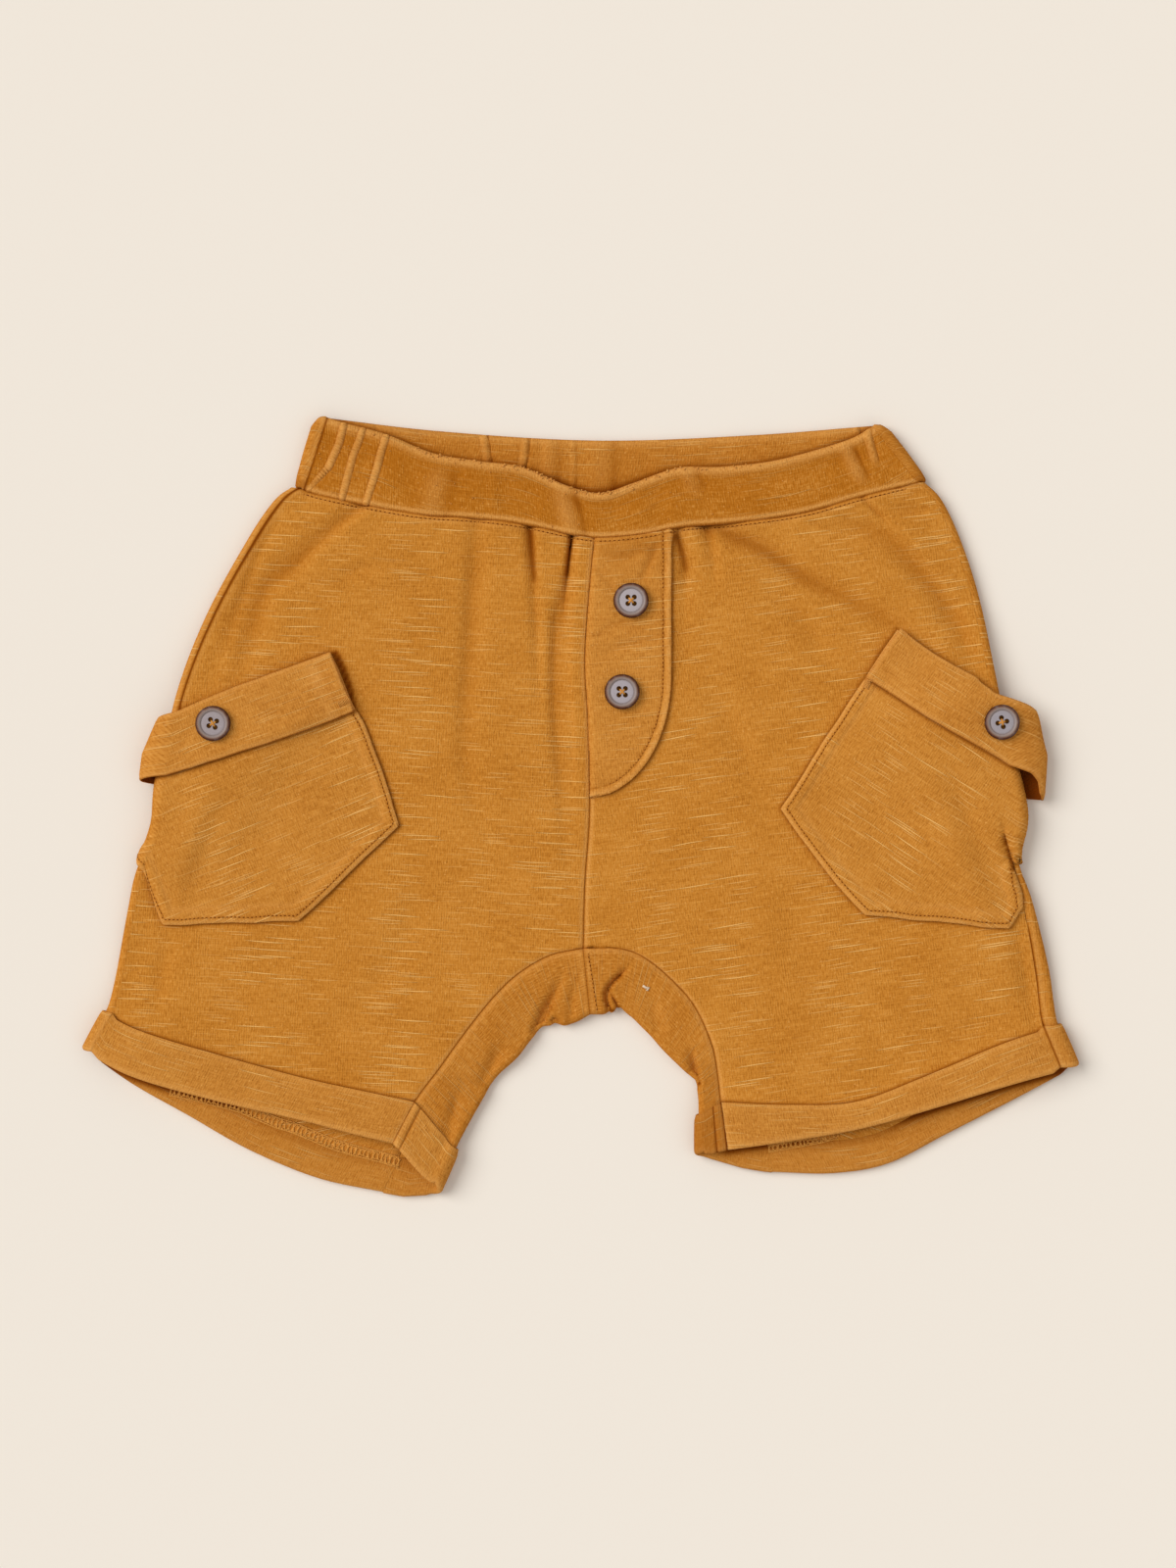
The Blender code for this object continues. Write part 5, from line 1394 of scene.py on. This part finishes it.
fly = {
    "width": 27.5,
    "length": 84.5,
    "straight": 45.0,
    "clear": 0.5,
    "lift": 0.15,
    "thickness": 0.9,
    "columns": 44,
    "rows": 110,
    "welt": 1.65,
    "grainDeg": 5.0,
    "wearAndHighlight": (("rim", 0.85, 0.7, 0.6),),
    "paintedShade": (("rim", 0.4, 2.5, 0.35), ("left", 0.3, 0.0, 0.6)),
    "creases": (  # soft pulls round the top button
        (1.5, 2.2, ((672, 552, 0.2), (664, 572, 0.5), (657, 590, 0.4))),
        (2.4, 1.6, ((616, 668, 0.1), (640, 658, 0.45), (672, 652, 0.3))),
        (1.4, 1.4, ((611, 584, 0.3), (624, 597, 0.4))),
        (1.6, 2.6, ((614, 644, 0.2), (632, 636, 0.4), (656, 640, 0.2))),
        (2.4, 2.4, ((612, 560, 0.2), (640, 566, 0.35), (668, 556, 0.1))),
    ),
}


def flyPlan():
    clear, straight = fly["clear"], fly["straight"]

    def centreX(y):
        return np.interp(y, centreLine[::-1, 1], centreLine[::-1, 0])

    topY = np.interp(centreLine[0, 0], frontSeamLine[:, 0], frontSeamLine[:, 1]) - clear
    low = np.linspace(0, 1, fly["rows"] + 1)
    y = topY - fly["length"] * low
    leftX = centreX(y) + clear * 0.4
    sink = np.clip((topY - straight - y) / (fly["length"] - straight), 0, 1)
    rightX = centreX(topY - straight) + clear + fly["width"] * np.sqrt(np.clip(1 - sink**2, 0.0, 1))
    rightX = np.maximum(rightX, leftX + 0.6)
    x = leftX[:, None] + (rightX - leftX)[:, None] * edged(fly["columns"])[None]
    seamY = np.interp(x[0], frontSeamLine[:, 0], frontSeamLine[:, 1]) - clear
    return np.dstack([x, y[:, None] + (seamY - topY)[None] * (1 - fade(low / 0.2))[:, None]])


def flyPiece():
    plan = flyPlan()
    x, y = plan[..., 0], plan[..., 1]
    points, normals = onGarment("right", x, y)
    outline = np.vstack([plan[:, -1], plan[-1, ::-1]])
    rim = distanceTo(outline[::2], x, y) + 0.22 * softNoise(x, y, 3.0, 67)
    welt = 0.5 * fade((fly["welt"] - rim) / 0.8) * fade((rim + 0.5) / 0.9) * (0.8 + 0.4 * softNoise(x, y, 2.4, 68))
    edges = edgeDistance(np.dstack([plan, 0 * x])) | {"rim": rim}
    hollow = foldDepth(x, y, tracesOf(fly["creases"]))
    lift = (lie["cloth"] + fly["thickness"]) / 2 + fly["lift"] + welt - 0.35 * near(edges["left"], 1.0) - hollow
    lift -= 0.25 * near(rim - stitch["flyInside"], 0.45)
    # the welt is painted lighter, as wear and as a highlight where it rises
    wearAndHighlight = edgeMarks(edges, fly["wearAndHighlight"]) * (0.75 + 0.5 * softNoise(x, y, 1.6, 69))
    # painted shade along the edges, in the soft pulls and round the top of the fly
    paintedShade = edgeMarks(edges, fly["paintedShade"]) + 0.22 * hollow
    paintedShade += 0.16 * near(edges["top"] - 4.0, 9.0) * (1 + 0.5 * softNoise(x, y, 5.0, 70))
    grid, uv = points + normals * lift[..., None], grainUv(plan, fly["grainDeg"])
    return sewn("fly", grid, fly["thickness"], -1.0, "fly", uv, wearAndHighlight, paintedShade)


pieces = {}
for side in signOf:
    pieces |= {f"front_{side}": front(side), f"back_{side}": back(side), f"inner_leg_{side}": innerLeg(side)}
    pieces |= cuffs(side)
    pieces |= {f"pocket_{side}": pocketPiece(side), f"pocket_band_{side}": pocketBandPiece(side)}
    print("made the", side, "half")
waistPlan = waistColumns()
pieces |= {"waistband_front": waistbandFront(waistPlan), "waistband_back": waistbandBack(waistPlan), "fly": flyPiece()}
print("made the waistband and the fly")


def clothTree(names):
    # the sewn pieces as one tree, to lay a thread on whatever is uppermost
    points, faces, start = [], [], 0
    for name in names:
        mesh = pieces[name].data
        places = np.empty(len(mesh.vertices) * 3)
        mesh.vertices.foreach_get("co", places)
        corners = np.empty(len(mesh.loops), int)
        mesh.loops.foreach_get("vertex_index", corners)
        points += places.reshape(-1, 3).tolist()
        faces += (corners.reshape(-1, 4) + start).tolist()
        start += len(mesh.vertices)
    return BVHTree.FromPolygons(points, faces)


def laidOn(tree, plan):
    # the highest cloth under each place of a plan, and which way it faces
    points, normals = [], []
    for x, y in np.asarray(plan)[:, :2]:
        place, normal, _, _ = tree.ray_cast((x * mm, y * mm, 0.05), (0, 0, -1))
        if place is not None:
            points.append(np.array(place) / mm)
            normals.append(np.array(normal) * (1 if normal[2] > 0 else -1))
    return np.array(points), np.array(normals)


def offsetLine(line, amount):
    # a line moved to the right of its run by this much
    along = unit(np.gradient(line[:, :2], axis=0))
    return line[:, :2] + np.column_stack([along[:, 1], -along[:, 0]]) * amount


def threadParts(path, radius, marks, sides=6):
    # one closed round thread along a path: its points, quads and how much painted shade each point carries
    path = np.asarray(path, float)
    along = unit(np.gradient(path, axis=0))
    across = np.cross(along[0], (0.31, 0.22, 0.93))
    angles = np.linspace(0, 2 * math.pi, sides, endpoint=False)[:, None]
    rings = []
    for place, direction, size in zip(path, along, np.broadcast_to(radius, len(path))):
        across = unit(across - direction * (across @ direction))
        beside = np.cross(direction, across)
        rings.append(place + size * (np.cos(angles) * across + np.sin(angles) * beside))
    index = np.arange(len(path) * sides).reshape(-1, sides)
    following = np.roll(index, -1, axis=1)
    quads = np.stack([index[:-1], following[:-1], following[1:], index[1:]], -1).reshape(-1, 4)
    first, last = index[0], index[-1]
    caps = [last[[0, 1, 2, 3]], last[[0, 3, 4, 5]], first[[3, 2, 1, 0]], first[[5, 4, 3, 0]]]
    return np.concatenate(rings), np.concatenate([quads, np.array(caps)]), np.repeat(marks, sides)


def threadPiece(name, threads, finish="thread", wearAndHighlight=0.0):
    # many threads as one piece; each is a path, its radius and its marks of painted shade
    points, faces, dark, start = [], [], [], 0
    for thread in threads:
        made, quads, shade = threadParts(*thread)
        points.append(made)
        faces.append(quads + start)
        dark.append(shade)
        start += len(made)
    points = np.concatenate(points)
    marks = {"wearAndHighlight": np.full(len(points), wearAndHighlight), "paintedShade": np.concatenate(dark)}
    return ridden(makeObject(name, points, np.concatenate(faces), points[:, :2], marks, finishes[finish]))


def stitchRow(points, normals, pitch):
    # short threads end to end along a seam; their ends, where the needle went in, are painted dark as shade
    both = evenly(np.concatenate([points, normals], axis=1), pitch)
    half = pitch * stitch["length"] / 2
    thick = stitch["radius"] * np.array(stitch["thick"])
    holeThick = stitch["holeRadius"] * np.array([share for _, share in stitch["hole"]])
    rows = []
    for place, normal, along in zip(both[:, :3], both[:, 3:], unit(np.gradient(both[:, :3], axis=0))):
        path = [place + along * half * share + normal * rise for share, rise in stitch["arch"]]
        rows.append((path, thick, stitch["dark"]))
        peg = [place + along * pitch / 2 + normal * rise for rise, _ in stitch["hole"]]
        rows.append((peg, holeThick, np.ones(len(peg))))
    return rows


def seamStitches(tree, line, offset, pitch):
    points, normals = laidOn(tree, evenly(offsetLine(line, offset), 0.4))
    return stitchRow(points, normals, pitch)


def pocketStitches(side):
    # along both sides and the point of the pocket, from under its band
    a, d, _, _, edges = pocketPlaces(side)
    grid, away = pocketGrid(side), pocket["stitchAt"]
    normals = gridNormals(grid, -signOf[side])
    rows, columns = np.arange(a.shape[0]), np.arange(a.shape[1])
    lowest = [np.interp(-away / pocket["pointSlope"], -edges["bottom"][:, c], rows) for c in columns]
    inner = [np.interp(away, edges["left"][r], columns) for r in rows]
    outer = [np.interp(-away, -edges["right"][r], columns) for r in rows]
    first, last = np.searchsorted(d[:, 0], (pocket["innerFrom"], pocket["outerFrom"][side]))
    path = [(r, inner[r]) for r in rows[first:] if r < lowest[2]]
    path += [(lowest[c], c) for c in columns if inner[-1] <= c <= outer[-1]]
    path += [(r, outer[r]) for r in rows[::-1] if lowest[-3] > r >= last]
    onRows, onColumns = np.array(path).T
    points = atPlaces(grid + normals * pocket["thickness"] / 2, onRows, onColumns)
    return stitchRow(points, atPlaces(normals, onRows, onColumns), stitch["pocketPitch"])


def barTack(tree, start, end, width, count):
    # close threads side by side over the corner of a band
    start, end = fromPhoto([start, end])
    along = unit(end - start)
    beside = np.array([-along[1], along[0]]) * width / 2
    rows = []
    for share in np.linspace(0, 1, count):
        middle = start + (end - start) * share
        points, normals = laidOn(tree, [middle - beside, middle, middle + beside])
        if len(points) == 3:
            path = [points[0] - normals[0] * 0.15, points[0] + normals[0] * 0.1, points[1] + normals[1] * 0.22]
            path += [points[2] + normals[2] * 0.1, points[2] - normals[2] * 0.15]
            # the ends carry painted shade where the threads go into the cloth
            rows.append((path, stitch["radius"], (0.5, 0.1, 0.0, 0.1, 0.5)))
    return rows


overlock = {
    "width": {"left": 3.3, "right": 2.2},
    "pitch": 1.45,
    "radius": 0.24,
    "lean": 0.35,
    "rows": {
        "left": ((172, 1113), (205, 1121), (240, 1130), (297, 1152), (352, 1173), (408, 1187)),
        "right": ((784, 1173), (800, 1171), (820, 1167), (840, 1163), (856, 1159)),
    },
}


def overlocked(tree, side):
    # looped threads over the raw edge inside the back hem
    line = evenly(smoothRows(fromPhoto(overlock["rows"][side]), 80), 0.2)
    along = unit(np.gradient(line, axis=0))
    beside = np.column_stack([-along[:, 1], along[:, 0]])
    run, width, rows = runOf(line), overlock["width"][side], []
    drift, lean = 0.25 * lineNoise(run, 6.0, 81), overlock["lean"]
    for phase, lean in ((0.0, lean), (math.pi, -lean)):
        turn = 2 * math.pi * run / overlock["pitch"] + phase + 1.1 * lineNoise(run, 2.2, 82)
        sway = width / 2 * np.sin(turn) * (0.85 + 0.3 * softNoise(run, 0 * run + phase, 1.7, 83)) + drift
        plan = line + beside * sway[:, None] + along * (lean * np.cos(turn))[:, None]
        points, normals = laidOn(tree, plan)
        height = 0.1 + 0.08 * np.cos(turn[: len(points)] * 0.5 + phase)
        rows.append((points + normals * height[:, None], overlock["radius"], np.full(len(points), 0.0)))
    for reach in (-0.5, 0.5):
        plan = line + beside * (reach * width + drift)[:, None]
        points, normals = laidOn(tree, plan[::3])
        bob = 0.12 + 0.08 * np.sin(np.arange(len(points)) * 2.7)
        # the threads along its edges carry a little painted shade
        rows.append((points + normals * bob[:, None], overlock["radius"] * 1.1, np.full(len(points), 0.05)))
    return rows


pilling = {
    "rim": 150,
    "face": 80,
    "size": (0.14, 0.5),
    "faceSize": 0.55,  # share of that size on the face of the band
    "seed": 91,
    "stations": 400,  # along the band from left to right
    "rimPlaces": (10, 190, 385),
    "facePlaces": (5, 395),
    "rimSpread": 0.035,  # shares of the band's depth
    "facePart": (0.05, 0.95),
    "rimShift": 0.25,
}


def pills(tree):
    # small balls of worn fibre, most of them along the rolled edge of the waistband
    draw = np.random.default_rng(pilling["seed"])
    stations = smoothRows(waistStations, pilling["stations"])
    threads = []
    for number in range(pilling["rim"] + pilling["face"]):
        atRim = number < pilling["rim"]
        place = draw.triangular(*pilling["rimPlaces"]) if atRim else draw.uniform(*pilling["facePlaces"])
        top, seam = stations[int(place), 0:2], stations[int(place), 2:4]
        down = abs(draw.normal(0.0, pilling["rimSpread"])) if atRim else draw.uniform(*pilling["facePart"])
        plan = top + (seam - top) * down + (0, pilling["rimShift"] * atRim)
        points, normals = laidOn(tree, [plan])
        size = draw.uniform(*pilling["size"]) * (1.0 if atRim else pilling["faceSize"])
        lean = draw.normal(0.0, 0.6, 3) * size
        if len(points):
            start = points[0] + normals[0] * size * 0.2
            path = [start - normals[0] * size * 0.6, start, start + normals[0] * size * 0.5 + lean * 0.6]
            path.append(path[-1] + normals[0] * size * 0.3 + lean * 0.4)
            # the root of each pill carries a little painted shade
            threads.append((path, size * np.array((0.5, 1.0, 0.8, 0.25)), (0.2, 0.0, 0.0, 0.0)))
    return threads


button = {
    "sides": 72,
    "profile": (  # radius and height, from the middle of the underside round to the middle of the face
        (0.0, 0.0), (3.6, 0.0), (4.6, 0.1), (5.25, 0.4), (5.62, 0.8), (5.75, 1.2), (5.66, 1.62), (5.4, 1.98),
        (5.0, 2.22), (4.65, 2.28), (4.35, 2.2), (4.12, 2.02), (3.98, 1.82), (3.88, 1.7), (3.78, 1.69),
        (3.66, 1.76), (3.5, 1.79), (2.4, 1.76), (0.0, 1.74),
    ),
    "holeAt": 1.05,
    "holeRadius": 0.76,
    "holeSides": 28,
    "threadRadius": 0.17,
    "threadShift": 0.14,
    "threadRun": (  # along the line between two holes, as a share, and height
        (-0.7, -0.25), (-0.7, 1.2), (-0.66, 1.66), (-0.5, 1.9), (0.0, 1.98), (0.5, 1.9), (0.66, 1.66), (0.7, 1.2),
        (0.7, -0.25),
    ),
    "crossRise": 0.2,  # how much higher the second pair of threads is in the middle
    "turnDeg": {
        "button_fly_top": 0.0,
        "button_fly_bottom": 0.0,
        "button_pocket_left": -14.0,
        "button_pocket_right": -33.0,
    },
    "faces": {
        "button_fly_top": (168, 158, 160),
        "button_fly_bottom": (164, 154, 158),
        "button_pocket_left": (154, 142, 143),
        "button_pocket_right": (152, 144, 148),
    },
    "faceTo": 0.61,
    "rings": (  # share of the radius and colour, outside the face
        (0.65, (150, 138, 137)),
        (0.68, (130, 114, 110)),
        (0.72, (148, 133, 128)),
        (0.81, (134, 112, 100)),
        (0.875, (108, 68, 46)),
        (0.925, (74, 32, 12)),
        (1.0, (54, 20, 6)),
    ),
}


def turned(profile, sides, place=(0.0, 0.0)):
    # points and faces of a solid turned about a line along Z
    angles = np.linspace(0, 2 * math.pi, sides, endpoint=False)
    points = [(*place, profile[0][1])]
    for radius, z in profile[1:-1]:
        points += [(place[0] + radius * math.cos(a), place[1] + radius * math.sin(a), z) for a in angles]
    points.append((*place, profile[-1][1]))
    faces = [(0, 1 + (k + 1) % sides, 1 + k) for k in range(sides)]
    for ring in range(len(profile) - 3):
        low, high = 1 + ring * sides, 1 + (ring + 1) * sides
        faces += [(low + k, low + (k + 1) % sides, high + (k + 1) % sides, high + k) for k in range(sides)]
    last = 1 + (len(profile) - 3) * sides
    faces += [(last + k, last + (k + 1) % sides, len(points) - 1) for k in range(sides)]
    return points, faces


def plainObject(name, points, faces):
    mesh = bpy.data.meshes.new(name)
    mesh.from_pydata((np.array(points) * mm).tolist(), [], faces)
    return linked(name, mesh)


def drilledButton():
    blank = plainObject("blank", *turned(button["profile"], button["sides"]))
    points, faces = [], []
    for x, y in ((1, 1), (-1, 1), (-1, -1), (1, -1)):
        hole = ((0, -1.0), (button["holeRadius"], -1.0), (button["holeRadius"], 4.0), (0, 4.0))
        more, sides = turned(hole, button["holeSides"], (x * button["holeAt"], y * button["holeAt"]))
        faces += [tuple(corner + len(points) for corner in face) for face in sides]
        points += more
    drill = plainObject("drill", points, faces)
    cut = blank.modifiers.new("holes", "BOOLEAN")
    cut.operation, cut.solver, cut.object = "DIFFERENCE", "EXACT", drill
    bpy.context.view_layer.update()
    mesh = bpy.data.meshes.new_from_object(blank.evaluated_get(bpy.context.evaluated_depsgraph_get()))
    for helper in (blank, drill):
        bpy.data.objects.remove(helper)
    mesh.shade_smooth()
    mesh.set_sharp_from_angle(angle=math.radians(35))
    return mesh


def hornMaterial(name, face):
    made, wire, setInputs = newMaterial(name, {"Specular IOR Level": 0.35})
    own = wire.node("ShaderNodeTexCoord", None, None, 3)
    flat = wire.vector("MULTIPLY", own, (1 / mm, 1 / mm, 0.0))
    clouds = wire.node("ShaderNodeTexNoise", None, {"Vector": flat, "Scale": 0.55, "Detail": 4.0})
    grain = wire.node("ShaderNodeTexNoise", None, {"Vector": flat, "Scale": 4.0, "Detail": 3.0})
    height = wire.node("ShaderNodeSeparateXYZ", None, {0: own}, 2) * (1 / mm)
    stops = [(0.0, linear(*face)), (button["faceTo"], linear(*face))]
    stops += [(place, linear(*colour)) for place, colour in button["rings"]]
    outer = button["profile"][5][0]
    worked = (wire.vector("LENGTH", flat, output=1) + (clouds - 0.5) * 0.3) * (1 / outer)
    tint = wire.node("ShaderNodeValToRGB", {"stops": stops}, {0: worked})
    fromHole = wire.vector("SUBTRACT", wire.vector("ABSOLUTE", flat), (button["holeAt"], button["holeAt"], 0.0))
    coats = (  # each colour over those before it, and where it shows
        ((96, 70, 52), ((grain - 0.5) * 1.2).step(0.0, 1.0) * 0.6),
        ((186, 178, 180), ((clouds - 0.5) * 1.4).step(0.0, 1.0) * 0.5),
        ((84, 38, 14), height.step(1.3, 0.7) * 0.85),
        # painted shade in and round each hole
        ((48, 24, 14), wire.vector("LENGTH", fromHole, output=1).step(0.88, 0.76) * 0.9),
    )
    for colour, share in coats:
        tint = wire.mix(tint, linear(*colour), share)
    bump = wire.node("ShaderNodeBump", None, {"Height": grain * 0.05, "Strength": 0.6, "Distance": 0.001})
    setInputs({"Base Color": tint, "Roughness": grain * 0.25 + 0.32, "Normal": bump})
    return made


def buttonPieces(mesh, node):
    low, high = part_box(node)
    middle, turn = (low + high) / 2, math.radians(button["turnDeg"][node])
    piece = linked(f"{node}_drilled", mesh.copy())
    piece.data.materials.clear()
    piece.data.materials.append(hornMaterial(f"horn_{node}", button["faces"][node]))
    piece.location = (middle.x, middle.y, low.z)
    piece.rotation_euler = (0.0, 0.0, turn)
    ridden(piece, node)
    threads = []
    base = np.array([middle.x, middle.y, low.z]) / mm
    for way, extra in ((math.pi / 4, 0.0), (-math.pi / 4, button["crossRise"])):
        along = np.array([math.cos(way + turn), math.sin(way + turn), 0.0])
        beside = np.array([-along[1], along[0], 0.0])
        reach = button["holeAt"] * math.sqrt(2)
        for shift in (-button["threadShift"], button["threadShift"]):
            path = [
                base + along * reach * share + beside * shift + (0, 0, z + (0.0 if share else extra))
                for share, z in button["threadRun"]
            ]
            path = smoothRows(path, 24)
            threads.append((path, button["threadRadius"], np.full(len(path), 0.0)))
    threadPiece(f"{node}_thread", threads, wearAndHighlight=0.3)


threadPlaces = {
    "waist": (-91.5, 110.0),  # x where the row under the waist seam starts and ends; the others are pixels
    "crotch": ((600, 972), (603, 990), (606, 1010), (609, 1030)),
    "lint": ((656, 1006), (659, 1008), (662, 1008), (660, 1011)),
    "lintRadius": 0.42,
    "lintRise": 0.2,
    "tacks": {  # both ends, width in mm and how many threads
        "left": ((346, 719), (356, 714), 2.0, 9),
        "right": ((887, 693), (883, 702), 2.0, 9),
    },
}
threadsOf = {name: [] for name in pieces}


def addThreads(piece, name, threads, finish="thread", wearAndHighlight=0.0):
    threadsOf[piece].append(threadPiece(name, threads, finish, wearAndHighlight))


topTree = clothTree(["front_left", "front_right", "fly", "waistband_front", "inner_leg_left", "inner_leg_right"])
waistFrom, waistTo = threadPlaces["waist"]
seam = frontSeamLine[(frontSeamLine[:, 0] > waistFrom) & (frontSeamLine[:, 0] < waistTo)]
waistRow = seamStitches(topTree, seam, stitch["waistBelow"], stitch["waistPitch"])
addThreads("waistband_front", "stitches_waist", waistRow)
flyRow = seamStitches(topTree, flyPlan()[:-3, -1], stitch["flyInside"], stitch["flyPitch"])
addThreads("fly", "stitches_fly", flyRow)
crotch = fromPhoto(threadPlaces["crotch"])
addThreads("inner_leg_right", "stitches_crotch", seamStitches(topTree, crotch, 0.0, stitch["crotchPitch"]))
lint = laidOn(topTree, fromPhoto(threadPlaces["lint"]))[0] + (0.0, 0.0, threadPlaces["lintRise"])
addThreads("inner_leg_right", "lint_speck", [(lint, threadPlaces["lintRadius"], np.zeros(len(lint)))], "lint")
addThreads("waistband_front", "pilling_waist", pills(topTree), "waistband", 0.9)
for side in signOf:
    addThreads(f"pocket_{side}", f"stitches_pocket_{side}", pocketStitches(side))
    hemTree = clothTree([f"cuff_{side}_back", f"cuff_{side}_inner", f"back_{side}"])
    addThreads(f"cuff_{side}_back", f"overlock_{side}", overlocked(hemTree, side), wearAndHighlight=0.25)
bandTree = clothTree(["pocket_band_left", "pocket_band_right", "pocket_left", "pocket_right"])
for side, tack in threadPlaces["tacks"].items():
    addThreads(f"pocket_band_{side}", f"tack_{side}", barTack(bandTree, *tack), wearAndHighlight=0.6)
print("made the threads")

buttonMesh = drilledButton()
for node in button["turnDeg"]:
    buttonPieces(buttonMesh, node)
print("made the buttons")

cuts = {  # width and length in mm of the cloth that shows, its area in square mm, how it lies and on what
    "front_left": (162.0, 205.0, 24600.0, "laid", ("back_left", "inner_leg_left")),
    "front_right": (157.0, 208.0, 25400.0, "laid", ("back_right", "inner_leg_right")),
    "back_left": (165.0, 222.0, 26800.0, "laid", ("floor",)),
    "back_right": (165.0, 218.0, 26800.0, "laid", ("floor",)),
    "inner_leg_left": (94.0, 48.0, 2850.0, "folded", ("back_left", "floor")),
    "inner_leg_right": (88.0, 46.0, 2300.0, "folded", ("back_right", "floor")),
    "cuff_left_front": (116.0, 29.0, 2750.0, "folded", ("front_left",)),
    "cuff_left_back": (118.0, 30.0, 3080.0, "folded", ("back_left", "floor")),
    "cuff_left_inner": (42.0, 30.0, 1080.0, "folded", ("inner_leg_left", "floor")),
    "cuff_right_front": (118.0, 28.0, 2600.0, "folded", ("front_right",)),
    "cuff_right_back": (112.0, 30.0, 3080.0, "folded", ("back_right", "floor")),
    "cuff_right_inner": (40.0, 28.0, 910.0, "folded", ("inner_leg_right", "floor")),
    "pocket_left": (83.2, 79.0, 6200.0, "laid", ("front_left", "back_left")),
    "pocket_right": (83.2, 84.0, 6600.0, "laid", ("front_right", "back_right")),
    "pocket_band_left": (95.0, 22.0, 2050.0, "folded", ("pocket_left",)),
    "pocket_band_right": (97.0, 22.0, 2080.0, "folded", ("pocket_right",)),
    "waistband_front": (205.0, 22.5, 4100.0, "gathered", ("waistband_back",)),
    "waistband_back": (232.0, 25.0, 5100.0, "gathered", ("floor",)),
    "fly": (29.0, 86.0, 2050.0, "laid", ("front_right",)),
}


def declareSheets():
    for name, (width, length, area, held, under) in cuts.items():
        rests = [pieces[other].name if other in pieces else other for other in under]


declareSheets()

studio = {
    "floor": linear(236, 227, 215),
    "floorZ": -0.0006,
    "distance": 1.215,
    "lens": 85.0,
    "centre": (0.00256, 0.00704),
    "world": 0.40,
    "worldColour": (1.0, 0.99, 0.97, 1.0),
    "lamps": (  # name, direction it shines from, width of the soft source in degrees, strength
        ("key", (-0.85, 0.35, 0.92), 42.0, 2.2),
        ("fill", (0.5, -0.3, 1.3), 80.0, 0.5),
    ),
}


def makeStudio():
    mesh = bpy.data.meshes.new("floor")
    corners = [(x, y, studio["floorZ"]) for x, y in ((-3, -3), (3, -3), (3, 3), (-3, 3))]
    mesh.from_pydata(corners, [], [(0, 1, 2, 3)])
    plain = {"Base Color": studio["floor"], "Roughness": 0.95, "Specular IOR Level": 0.0}
    mesh.materials.append(newMaterial("studio_floor", plain)[0])
    floor = linked("floor", mesh)
    for name, place, width, power in studio["lamps"]:
        light = bpy.data.lights.new(name, "SUN")
        light.angle, light.energy = math.radians(width), power
        lamp, aim = linked(name, light), unit(np.array(place))
        lamp.location = aim * 1.5
        lamp.rotation_euler = (math.acos(aim[2]), 0.0, math.atan2(aim[1], aim[0]) + math.pi / 2)
    world = bpy.data.worlds.new("studio")
    world.use_nodes = True
    background = world.node_tree.nodes["Background"]
    background.inputs[0].default_value = studio["worldColour"]
    background.inputs[1].default_value = studio["world"]
    bpy.context.scene.world = world
    view = bpy.data.cameras.new("camera")
    view.lens = studio["lens"]
    camera = linked("camera", view)
    camera.location = (*studio["centre"], studio["distance"])
    bpy.context.scene.camera = camera
    bpy.context.scene.view_settings.view_transform = "Standard"


makeStudio()
print("studio made")
